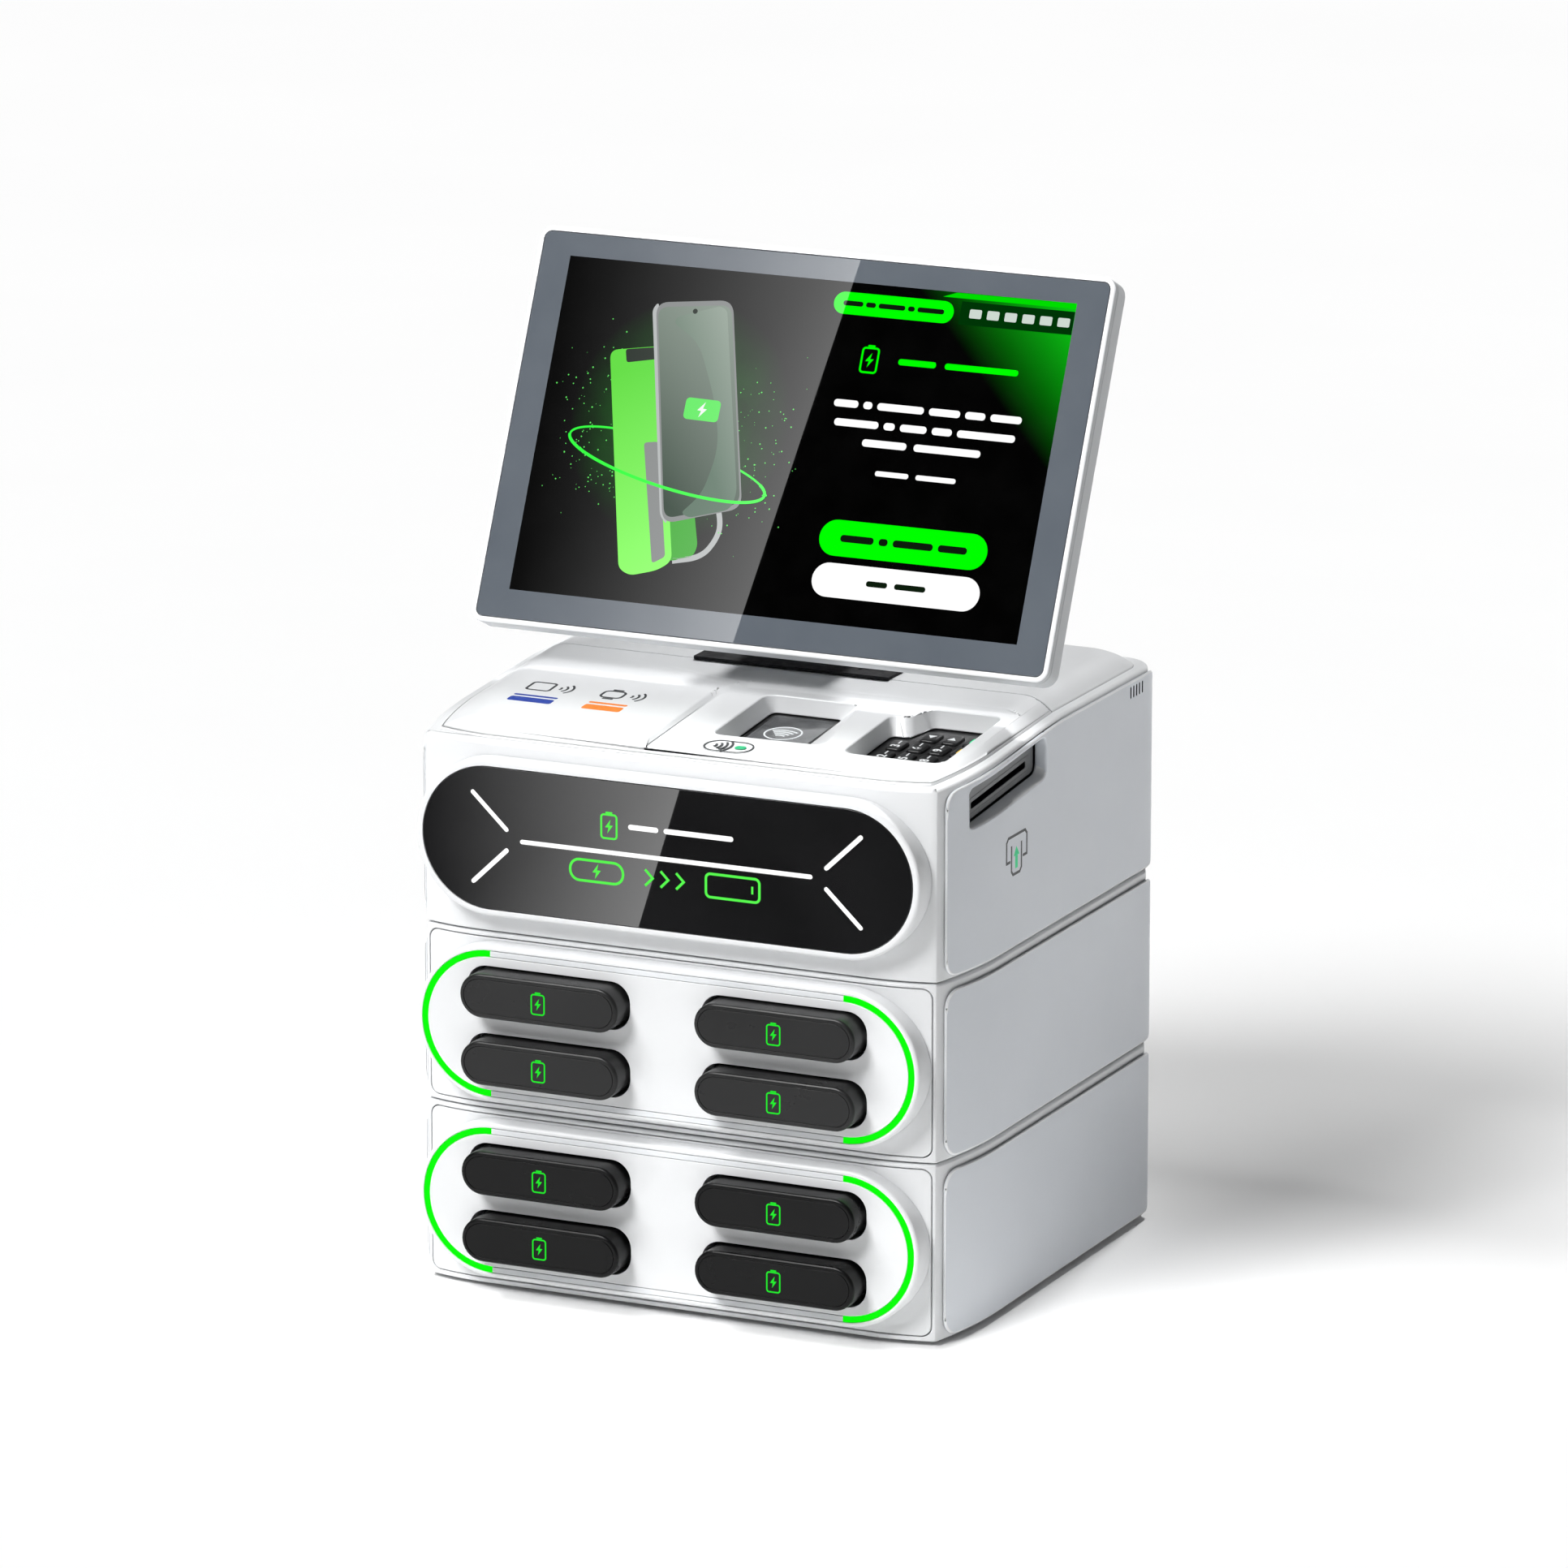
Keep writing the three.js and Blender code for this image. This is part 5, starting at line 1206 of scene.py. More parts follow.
def add_head_panel():
    low, high = span("head_black_panel")
    z = (low.z + high.z) / 2
    half, radius = high.x, (high.z - low.z) / 2
    blank = pill_blank("head_pill", z)
    cut(blank, pill_prism(half + GAP, radius + GAP, z, PILL_FACE_Y - 1, PILL_FACE_Y + 3.6))
    dress(blank, WHITE)
    soften(blank, 0.25, 2)
    piece(blank, "head_pill_bezel")
    bars = light_bar_lines()
    panel = pill_prism(half, radius, z, PILL_FACE_Y, PILL_FACE_Y + 2, "head_panel")
    cut(panel, *[bar_prism(*ends, 2.0, z, PILL_FACE_Y - 1, PILL_FACE_Y + 5) for ends in bars])
    dress(panel, PANEL_BLACK)
    soften(panel, 0.15, 2)
    piece(panel, "head_black_panel")
    diffuser = pill_prism(half - 6, radius - 6, z, PILL_FACE_Y + 2.3, PILL_FACE_Y + 3.3, "head_diffuser")
    join(diffuser, *[bar_prism(*ends, 1.7, z, PILL_FACE_Y + 0.05, PILL_FACE_Y + 2.6) for ends in bars])
    dress(diffuser, WHITE_LIGHT)
    piece(diffuser, "head_light_bars")
    face = front_face(0, PILL_FACE_Y, z)
    battery = turned(battery_symbol(5.6, 0.85), dx=-25.3, dy=11.6)
    name = [stadium_patch(x0, x1, 10.7, 12.9) for x0, x1 in ((-16.6, -3), (-0.6, 30.7))]
    mark("panel_mark_battery", battery, face, PALE_GREEN_LIGHT)
    mark("panel_mark_name", name, face, WHITE_LIGHT)
    mark("panel_mark_lend", lend_symbols(-43, 42.4, -8.6), face, PALE_GREEN_LIGHT)


def light_bar_lines():
    """Ends of the five bars of light: one along the middle, a diagonal in each corner."""
    diagonals = [
        (Vector((sx * 72.1, sz * 4.4)), Vector((sx * 87.4, sz * 18.9))) for sx in (-1, 1) for sz in (-1, 1)
    ]
    return [(Vector((-65, 0)), Vector((65, 0)))] + diagonals


def bar_prism(start, end, width, z, y0, y1):
    along = end - start
    angle = math.atan2(along.y, along.x)
    middle = (start + end) / 2
    outline = turned([stadium(along.length / 2 + width / 2, width / 2, 8)], angle, middle.x, middle.y + z)[0]
    return prism_y(outline, y0, y1)


def lend_symbols(x0, x1, y):
    """A row of plain symbols: power bank, three arrow heads, phone."""
    line = 1.1
    bank = ribbon(rounded_rect(x0, x0 + 24, y - 4.4, y + 4.4, 4.2, 6), line, True)
    bank += [moved(bolt(6.4), x0 + 12, y)]
    arrows = []
    for i in range(3):
        x = x0 + 34 + i * 7
        arrows += ribbon([(x, y + 3.4), (x + 3.4, y), (x, y - 3.4)], line)
    phone = ribbon(rounded_rect(x1 - 24, x1, y - 4.9, y + 4.9, 2, 5), line, True)
    phone += ribbon([(x1 - 3.2, y - 1.6), (x1 - 3.2, y + 1.6)], 0.9)
    return bank + arrows + phone


def add_gasket():
    low, high = span("stand_gasket")
    outline = rounded_rect(low.x - 1.5, high.x + 1, low.y - 3.6, high.y, 0.8, 3)
    pad = prism_z(outline, low.z - 0.2, high.z, "screen_foot_pad")
    cut(pad, block(27, 39, low.y + 3.4, high.y - 4.6, low.z + 0.3, high.z + 1))
    dress(pad, RUBBER)
    soften(pad, 0.2, 2)
    piece(pad, "stand_gasket")


def add_inlet():
    cx, cz = inlet_middle()
    body = prism_y(inlet_outline(0), REAR_Y - 20, REAR_Y - 0.2, "mains_inlet")
    collar = prism_y(inlet_outline(2), REAR_Y - 0.35, REAR_Y + 0.8)
    cut(collar, prism_y(rounded_rect(cx - 13, cx + 13, cz - 9, cz + 9, 2.5), REAR_Y - 2, REAR_Y + 2))
    socket = moved(((-12, -8), (12, -8), (12, 4), (8, 8), (-8, 8), (-12, 4)), cx, cz)
    cut(body, prism_y(round_corners(socket, 1.5), REAR_Y - 16, REAR_Y + 1))
    join(body, collar)
    dress(body, SATIN_BLACK)
    soften(body, 0.3, 2)
    piece(body, "power_inlet")
    pin = rounded_rect(-1, 1, -2, 2, 0.6, 3)
    prongs, *others = [prism_y(moved(pin, cx + dx, cz + dz), REAR_Y - 17, REAR_Y - 4, "mains_inlet_pins")
                       for dx, dz in ((-6, -1), (0, 2.5), (6, -1))]
    join(prongs, *others)
    dress(prongs, STEEL)
    extra(prongs)


def add_head():
    add_head_housing()
    add_head_covers()
    add_mouth_back()
    add_deck_front()
    add_deck_rear()
    add_head_panel()
    add_gasket()
    add_inlet()
    add_deck_marks()
    add_side_mark()


# ---------- printed marks on the head ----------
def waves(x, y, count, first, pitch, spread, line):
    patches = []
    for i in range(count):
        radius = first + i * pitch
        patches += ribbon(arc(x, y, radius, -spread, spread, 10), line)
    return patches


def card_symbol(x, y, width, height):
    """Filled payment card with its stripe left open."""
    left, right = x - width / 2, x + width / 2
    return [rounded_rect(left, right, y + height * low, y + height * high, corner, 3)
            for low, high, corner in ((0.3, 0.5, 0.8), (-0.5, 0.12, 1.2))]


def add_deck_marks():
    plane = deck_matrix(0, -45)
    line = 1.1
    phone = ribbon(rounded_rect(-95, -84.5, 1.2, 10.8, 1.6, 4), line, True)
    watch = ribbon(rounded_rect(-61.5, -52, 2, 10, 2.4, 5), line, True)
    straps = [rounded_rect(-59.2, -54.3, y, y + 1.4, 0.3, 2) for y in (-0.2, 10.8)]
    phone_waves, watch_waves = [waves(x, 6, 3, 1.8, 2.6, 0.8, 1.0) for x in (-82.4, -49.6)]
    devices = phone + phone_waves + watch + watch_waves + straps
    mark("deck_mark_devices", devices, plane, DARK_INK)
    mark("deck_mark_blue_card", card_symbol(-86.5, -9.5, 20, 8.6), plane, BLUE_INK)
    mark("deck_mark_amber_card", card_symbol(-53.5, -9.3, 17.5, 9.4), plane, AMBER_INK)
    tap = deck_matrix(15, -79, PLATFORM_DEPTH)
    outline = ribbon(rounded_rect(-10.5, 10.5, -6.2, 6.2, 6.1, 8), 0.7, True)
    mark("deck_mark_tap", outline + waves(-8, 0, 4, 2.4, 2.2, 0.7, 1.0), tap, DARK_INK)
    mark("deck_mark_tap_green", [stadium_patch(2.8, 7.8, -2, 2)], tap, GREEN_INK)


def add_side_mark():
    """Pictogram of a card going into a slot, on the right-hand cover."""
    x = span("head_right_cover")[1].x
    face = Matrix(((0, 0, 1, x), (1, 0, 0, 0), (0, 1, 0, 0), (0, 0, 0, 1)))
    line = 1.15
    reader = [(-40.2, 192.2), (-44, 192.2), (-44, 200.8), (-42.2, 202.5),
              (-25.4, 202.5), (-23.6, 200.8), (-23.6, 192.2), (-27.6, 192.2)]
    card = [(-39, 198.6), (-39, 187.8), (-37.4, 186.2), (-30.6, 186.2), (-29, 187.8), (-29, 198.6)]
    mark("side_mark_card", ribbon(reader, line) + ribbon(card, line), face, DARK_INK)
    arrow = [(-35.2, 188.4), (-32.8, 188.4), (-32.8, 193.8), (-31.2, 193.8),
             (-34, 197.6), (-36.8, 193.8), (-35.2, 193.8)]
    mark("side_mark_arrow", [arrow], face, ARROW_INK)


# ---------- payment terminal ----------
KEYS = (
    ("key_2", 0, 0, "2"), ("key_5", 1, 0, "5"), ("key_8", 2, 0, "8"), ("key_0", 3, 0, "0"),
    ("key_3", 0, 1, "3"), ("key_6", 1, 1, "6"), ("key_9", 2, 1, "9"), ("key_yellow", 3, 1, ""),
    ("key_down", 1, 2, ""), ("key_up", 2, 2, ""), ("key_green", 3, 2, ""),
)


def terminal_matrix():
    place = Matrix.Translation((0, TERMINAL_Y, deck_height(TERMINAL_Y) - TERMINAL_DROP))
    return place @ Matrix.Rotation(TERMINAL_TILT, 4, "X")


def local_loft(name, rings, matrix):
    return loft(name, [[tuple(matrix @ Vector(p)) for p in ring] for ring in rings])


def text_patch(name, text, size, matrix, material, body):
    """A generic digit as a thin mesh, centred on the matrix's origin."""
    curve = bpy.data.curves.new(name, "FONT")
    curve.body = text
    curve.size = size * MM
    curve.align_x = "CENTER"
    curve.align_y = "CENTER"
    curve.extrude = 0.03 * MM
    curve.offset = 0.13 * MM
    source = place(name + "_source", curve)
    bpy.context.view_layer.update()
    graph = bpy.context.evaluated_depsgraph_get()
    mesh = bpy.data.meshes.new_from_object(source.evaluated_get(graph))
    bpy.data.objects.remove(source)
    metres = matrix.copy()
    metres.translation *= MM
    mesh.transform(metres)
    return extra(dress(place(name, mesh), material), body)


def add_key(node, column, row, text, plane):
    x, y = KEY_COLUMNS[column], KEY_ROWS[row]
    half_x, half_y = 3.6, 5.3

    def ring(shrink, z, corner):
        return [(x + a, y + b, z) for a, b in
                rounded_rect(-half_x + shrink, half_x - shrink, -half_y + shrink, half_y - shrink, corner, 6)]

    profile = ((0, -1.5, 1.8), (0, 0.6, 1.8), (0.15, 1.0, 1.7),
               (0.5, 1.25, 1.5), (1.0, 1.32, 1.2), (2.2, 1.22, 0.8))
    cap = local_loft("terminal_" + node + "_cap", [ring(*step) for step in profile], plane)
    dress(cap, KEY_BLACK)
    soften(cap, 0.15, 2)
    body = "terminal_" + node
    piece(cap, body, body)
    top = plane @ Matrix.Translation((x, y, 1.28)) @ Matrix.Rotation(math.pi / 2, 4, "Z")
    name = body + "_legend"
    # Legends take the glowing legend material: painted light on printed marks.
    if text:
        aside = top @ Matrix.Translation((-1.5, 0, 0))
        text_patch(name, text, LEGEND_SIZE, aside, LEGEND_PAINTED_GLOW, body)
        dots = [stadium_patch(1.3 + i * 1.2, 2.2 + i * 1.2, -0.45, 0.45, 4) for i in range(3)]
        mark(name + "_dots", dots, top, LEGEND_PAINTED_GLOW, body)
    elif node in ("key_down", "key_up"):
        sign = 1 if node == "key_up" else -1
        triangle = [(-1.5 * sign, -1.8), (1.5 * sign, 0), (-1.5 * sign, 1.8)]
        mark(name, [triangle], top, LEGEND_PAINTED_GLOW, body)
    else:
        ink = YELLOW_INK if node == "key_yellow" else KEY_GREEN_INK
        mark(name, [stadium_patch(-3.2, 3.2, -1.15, 1.15)], top, ink, body)


def add_terminal():
    plane = terminal_matrix()
    dress(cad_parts["terminal_body"], TERMINAL_BLACK)
    for node, column, row, text in KEYS:
        add_key(node, column, row, text, plane)
    glass = local_loft("reader_display", [
        [(x, y, z) for x, y in rounded_rect(5 + d, 35.4 - d, -23.4 + d, 26.6 - d, 3)]
        for d, z in ((0, -1.1), (0, -0.1), (0.25, 0.1))
    ], plane)
    dress(glass, DISPLAY_GLASS)
    soften(glass, 0.1, 1)
    piece(glass, "terminal_display")
    face = plane @ Matrix.Translation((19, 5.0, 0.1))
    ring = ribbon(arc(0, 0, 7.8, 0, 2 * math.pi * 47 / 48, 47), 0.75, True)
    turned_waves = turned(waves(-6.2, 0, 4, 3.6, 2.1, 0.6, 0.95), math.pi / 2)
    mark("reader_display_mark", ring + turned_waves, face, READER_LIGHT)
    mark("reader_display_frame", ribbon(rounded_rect(5.6, 34.8, -22.8, 26, 2.4, 6), 1.3, True),
         plane @ Matrix.Translation((0, 0, 0.1)), KEY_BLACK)


# ---------- screen ----------
def screen_matrix():
    """From the screen's own frame (x along it, z up it, y into it, origin on the glass) to the kiosk's."""
    low, high = span("screen_glass")
    turn = Matrix.Rotation(-SCREEN_TILT, 4, "X")
    middle = (low + high) / 2 - turn @ Vector((0, GLASS_THICKNESS / 2, 0))
    return Matrix.Translation(middle) @ turn


SCREEN = screen_matrix()


def on_screen(obj):
    """Places a piece that is made in the screen's own frame."""
    placed = SCREEN.copy()
    placed.translation = SCREEN.translation * MM
    obj.matrix_world = placed
    return obj


def screen_ring(shrink, y, corner, steps=10):
    half_x, half_z = GLASS_WIDTH / 2 + RIM - shrink, GLASS_HEIGHT / 2 + RIM - shrink
    return [(x, y, z) for x, z in rounded_rect(-half_x, half_x, -half_z, half_z, corner, steps)]


def add_screen_case():
    profile = ((0.9, 0, 5.1), (0.45, 0.12, 5.5), (0.12, 0.45, 5.8), (0, 0.9, 6), (0, 3, 6))
    rim = loft("screen_rim", [screen_ring(*step) for step in profile])
    half_x, half_z = GLASS_WIDTH / 2, GLASS_HEIGHT / 2
    cut(
        rim,
        prism_y(rounded_rect(-half_x - GAP, half_x + GAP, -half_z - GAP, half_z + GAP, 3.5), -1, 2.3),
        prism_y(rounded_rect(-121, 121, -76, 76, 2), -2, 5),
    )
    dress(rim, RIM_WHITE_AND_PAINTED_HIGHLIGHT, SHELL_GREY_AND_PAINTED_SIDE_SHADE)
    soften(rim, 0.12, 2)
    # Sideways faces of the rim past the glass take the darker shell grey in slot 1: painted shade on the
    # rim's sides, while its front keeps the brighter white.
    for face in rim.data.polygons:
        past_glass = max(abs(face.center.x) - half_x * MM, abs(face.center.z) - half_z * MM)
        if abs(face.normal.y) < 0.35 and past_glass > MM:
            face.material_index = 1
    piece(on_screen(rim), "screen_frame", "screen")
    rings = [screen_ring(0.25, 3.3, 6), screen_ring(0, 3.55, 6)]
    for a in quarter_turns(8):
        away, down = SHELL_ROUND * (1 - math.cos(a)), SHELL_ROUND * (1 - math.sin(a))
        rings.append(screen_ring(away, SCREEN_DEPTH - down, 6))
    shell = loft("screen_back", rings)
    hollow = rounded_rect(-half_x - 0.1, half_x + 0.1, -half_z - 0.1, half_z + 0.1, 4)
    cut(shell, prism_y(hollow, 2, SCREEN_DEPTH - 2.4))
    root = SCREEN_DEPTH - 1
    ear = [(root, HINGE_UP - KNUCKLE_RADIUS)]
    ear += arc(HINGE_BACK, HINGE_UP, KNUCKLE_RADIUS, -math.pi / 2, math.pi / 2, 20)
    ear += [(root, HINGE_UP + KNUCKLE_RADIUS)]
    for x0, x1 in ((-32.5, -25.5), (25.5, 32.5)):
        join(shell, prism_x(ear, x0, x1))
    bore = prism_x(circle(HINGE_BACK, HINGE_UP, PIN_BORE, 32), -60, 60)
    slits = [prism_y(rounded_rect(x - 0.9, x + 0.9, 44, 62, 0.85, 4), root, SCREEN_DEPTH + 1)
             for x in range(-60, 61, 6)]
    port = prism_y(rounded_rect(70, 96, -52, -44, 1.5, 4), SCREEN_DEPTH - 1.8, SCREEN_DEPTH + 1)
    cut(shell, bore, *slits, port)
    dress(shell, SHELL_GREY_AND_PAINTED_SIDE_SHADE)
    soften(shell, 0.3, 2)
    piece(on_screen(shell), "screen_rear_shell", "screen")
    for i, (x, z) in enumerate(((-118, -70), (118, -70), (-118, 70), (118, 70))):
        screw = screw_head(f"screen_screw_{i + 1}", 2.6)
        seat = Matrix.Translation(Vector((x, SCREEN_DEPTH, z)) * MM)
        screw.data.transform(seat @ Matrix.Rotation(-math.pi / 2, 4, "X"))
        extra(on_screen(dress(screw, STEEL)), "screen")


def screw_head(name, radius):
    """Low dome with a cross recess, its axis along z and its seat at the origin."""
    profile = ((1, -0.4), (1, 0.15), (0.93, 0.42), (0.7, 0.62), (0.3, 0.72))
    head = loft(name, [[(x, y, z) for x, y in circle(0, 0, radius * share, 28)] for share, z in profile])
    reach, half_slot = radius * 0.6, 0.28
    cut(head, *[block(-x, x, -y, y, 0.2, 2) for x, y in ((reach, half_slot), (half_slot, reach))])
    head.data.shade_flat()
    return soften(head, 0.05, 1, 40)


def add_screen_glass():
    half_x, half_z = GLASS_WIDTH / 2, GLASS_HEIGHT / 2
    corner = 3.2
    rings = [[(x, y, z) for x, z in rounded_rect(d - half_x, half_x - d, d - half_z, half_z - d,
                                                 corner - d, 10)]
             for d, y in ((0.2, 0), (0, 0.2), (0, GLASS_THICKNESS))]
    pane = loft("screen_border", rings)
    left, right = -ACTIVE_HALF_WIDTH, ACTIVE_HALF_WIDTH
    foot, head = ACTIVE_UP - ACTIVE_HALF_HEIGHT, ACTIVE_UP + ACTIVE_HALF_HEIGHT
    active = [(left, foot), (right, foot), (right, head), (left, head)]
    cut(pane, prism_y(active, -1, GLASS_THICKNESS + 1))
    dress(pane, BORDER)
    pane.data.shade_flat()
    piece(on_screen(pane), "screen_glass", "screen")
    display = prism_y(active, 0, GLASS_THICKNESS, "screen_display")
    dress(display, GLASS)
    display.data.shade_flat()
    extra(on_screen(display), "screen")


def picture(name, patches, material, layer):
    """Thin fields of the lit picture, on the glass; a higher layer lies over a lower one."""
    flat = front_face(0, 0, 0)
    obj = mark(name, patches, flat, material, "screen", 0.02, 0.02 * layer)
    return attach(on_screen(obj), "screen")


def word_bars(x0, x1, y, height, widths):
    """A line of plain rounded bars in place of words, spread over the line's length."""
    gap = (x1 - x0 - sum(widths)) / max(1, len(widths) - 1)
    bars, x = [], x0
    for width in widths:
        bars.append(rounded_rect(x, x + width, y - height / 2, y + height / 2, height * 0.45, 4))
        x += width + gap
    return bars


def add_picture_menu():
    green = picture_material("picture_green", (0.0, 1.0, 0.0))
    white = picture_material("picture_white", (1.0, 1.0, 1.0), 1.0, 0.02)
    black = picture_material("picture_black", (0.004, 0.012, 0.004))
    strip = picture_material("picture_strip", (0.0, 0.035, 0.002))
    bright = picture_material("picture_bright_band", (0.0, 0.72, 0.0))
    chip = picture_material("picture_chip", (0.62, 0.7, 0.64))
    picture("picture_top_band", [[(56, 70.6), (115.6, 70.6), (115.6, 72.8), (62, 72.8)]], bright, 1)
    picture("picture_strip", [[(64.8, 59.6), (115.5, 59.6), (115.5, 69.4), (64.8, 69.4)]], strip, 1)
    chips = [rounded_rect(69 + 7.9 * i, 74.4 + 7.9 * i, 62.6, 66.4, 0.6, 3) for i in range(6)]
    picture("picture_chips", chips, chip, 2)
    buttons = [stadium_patch(7.7, 61.9, 59.4, 68.8, 14), stadium_patch(20.0, 95.6, -42.0, -26.8, 16)]
    picture("picture_green_buttons", buttons, green, 1)
    picture("picture_white_button", [stadium_patch(20.0, 95.5, -59.4, -45.0, 16)], white, 1)
    words = word_bars(12, 57.6, 64.1, 2.1, (9, 4.4, 12, 3, 12))
    words += word_bars(29.5, 86.5, -34.4, 3.0, (15, 4, 18, 13))
    words += word_bars(44.5, 71.2, -52.2, 2.4, (9.5, 14))
    picture("picture_button_words", words, black, 2)
    symbol = turned(battery_symbol(5.8, 0.85), dx=28.2, dy=41.6)
    symbol += word_bars(41.2, 95.2, 41.5, 2.6, (17, 33))
    picture("picture_green_words", symbol, green, 1)
    lines = word_bars(15.8, 100.4, 22.0, 3.1, (11, 4, 21, 14, 9, 14))
    lines += word_bars(17.4, 98.9, 14.0, 3.1, (20, 5, 12, 9, 26))
    lines += word_bars(31.5, 84.8, 6.3, 3.1, (20, 30))
    lines += word_bars(39.7, 76.0, -6.0, 2.2, (15, 18))
    picture("picture_white_words", lines, white, 1)


def add_picture_phone():
    """Plain art on the left: a green power bank behind a grey phone, circled by a line of light."""
    bank_green = shaded_picture("picture_bank", (0.12, 0.72, 0.05), (0.27, 1.0, 0.14), (0.24, -0.97), 90)
    bank_edge = picture_material("picture_bank_edge", (0.05, 0.42, 0.03))
    dark = picture_material("picture_dark", (0.02, 0.03, 0.022))
    grey = picture_material("picture_grey", (0.26, 0.27, 0.27))
    pale = picture_material("picture_pale", (0.48, 0.5, 0.5))
    phone = shaded_picture("picture_phone", (0.02, 0.05, 0.028), (0.3, 0.36, 0.31), (0.45, 0.89), 96)
    shape = shaded_picture("picture_phone_curve", (0.10, 0.17, 0.12), (0.5, 0.56, 0.5), (0.8, 0.6), 70)
    green = picture_material("picture_line", (0.03, 1.0, 0.05))
    badge = picture_material("picture_badge", (0.12, 0.82, 0.12))
    white = picture_material("picture_art_white", (0.9, 0.92, 0.9))
    front = [(-89.6, 34.6), (-66.5, 38.4), (-44.1, -51.5), (-50, -56), (-62, -59.4), (-67.6, -57)]
    edge = [(-66, 36), (-58, 36.5), (-33.8, -44), (-35, -48.5), (-46, -52)]
    top = [(-82.5, 35.6), (-67, 38.0), (-65.8, 33), (-81, 30)]
    strip = [(-66.5, -3), (-60, -2), (-47.5, -50), (-53, -53.4)]
    picture("picture_bank_back", [round_corners(edge, 3, 5)], bank_edge, 1)
    picture("picture_bank_front", [round_corners(front, 4, 6)], bank_green, 2)
    picture("picture_bank_top", [round_corners(top, 1.2, 4)], dark, 3)
    picture("picture_bank_band", [round_corners(strip, 1.5, 4)], grey, 3)
    loop = [(-30, -22), (-25.2, -33), (-25.6, -40), (-31, -48.6), (-44, -51.4)]
    picture("picture_cable", ribbon(smooth(loop, 10), 2.4), pale, 1)
    side = [(-73.6, 53.5), (-71.4, 57), (-49.4, -36.6), (-53.2, -33)]
    picture("picture_phone_side", [round_corners(side, 2, 4)], pale, 4)
    body = [(-72.6, 56.6), (-37.8, 60.6), (-16.8, -26.4), (-51.4, -36.4)]
    picture("picture_phone_edge", [round_corners(body, 6, 8)], grey, 5)
    middle = Vector((sum(p[0] for p in body) / 4, sum(p[1] for p in body) / 4))
    glass = [tuple(middle + (Vector(p) - middle) * 0.955) for p in body]
    picture("picture_phone_glass", [round_corners(glass, 5, 8)], phone, 6)
    curve = [(-66, 50), (-50, 42), (-38, 18), (-32, -2), (-36, -22), (-44, -31), (-40, -32.6), (-22, -27.4),
             (-20.4, -20), (-30, 18), (-39.6, 56), (-43, 57.6)]
    picture("picture_phone_curve", [round_corners(curve, 9, 6)], shape, 7)
    picture("picture_phone_lens", turned([stadium_patch(-1.1, 1.1, -1.1, 1.1, 8)], 0, -54, 54.4), dark, 8)
    badge_outline = turned([rounded_rect(-8, 8, -4.6, 4.6, 1.8, 5)], -0.02, -42.8, 13.2)
    picture("picture_badge", badge_outline, badge, 9)
    picture("picture_badge_bolt", turned([bolt(7)], -0.1, -42.8, 13.2), white, 10)
    ellipse = [(47.4 * x, 9.6 * y) for x, y in arc(0, 0, 1, 0, 2 * math.pi, 80)]
    orbit = turned([ellipse], -0.19, -54.3, -11.2)[0]
    picture("picture_orbit_rear", ribbon(orbit[26:41], 0.9), green, 1)
    picture("picture_orbit_tail", ribbon(orbit[5:12], 0.9), green, 4)
    picture("picture_orbit_front", ribbon(orbit[40:] + orbit[:6], 1.3), green, 11)
    dots = random.Random(11)
    sparks = []
    while len(sparks) < 240:
        turn = dots.uniform(0, 2 * math.pi)
        reach = abs(dots.gauss(1.0, 0.22))
        x = 46 * reach * math.cos(turn) - 54
        y = 34 * reach * math.sin(turn) - 0.1 * (x + 54)
        if -113 < x < 5 and -68 < y < 68 and abs(math.cos(turn)) > 0.45:
            size = dots.uniform(0.12, 0.42)
            sparks.append([(x - size, y), (x, y - size), (x + size, y), (x, y + size)])
    picture("picture_sparks", sparks, badge, 1)


def smooth(points, steps):
    """A rounded line through control points, for short drawn strokes."""
    line = []
    corners = [Vector(p) for p in points]
    middles = [(a + b) / 2 for a, b in zip(corners, corners[1:])]
    line.append(corners[0])
    for before, corner, after in zip(middles, corners[1:-1], middles[1:]):
        line += bezier(before, corner, after, steps)[:-1]
    line += [middles[-1], corners[-1]]
    return [(p.x, p.y) for p in line]


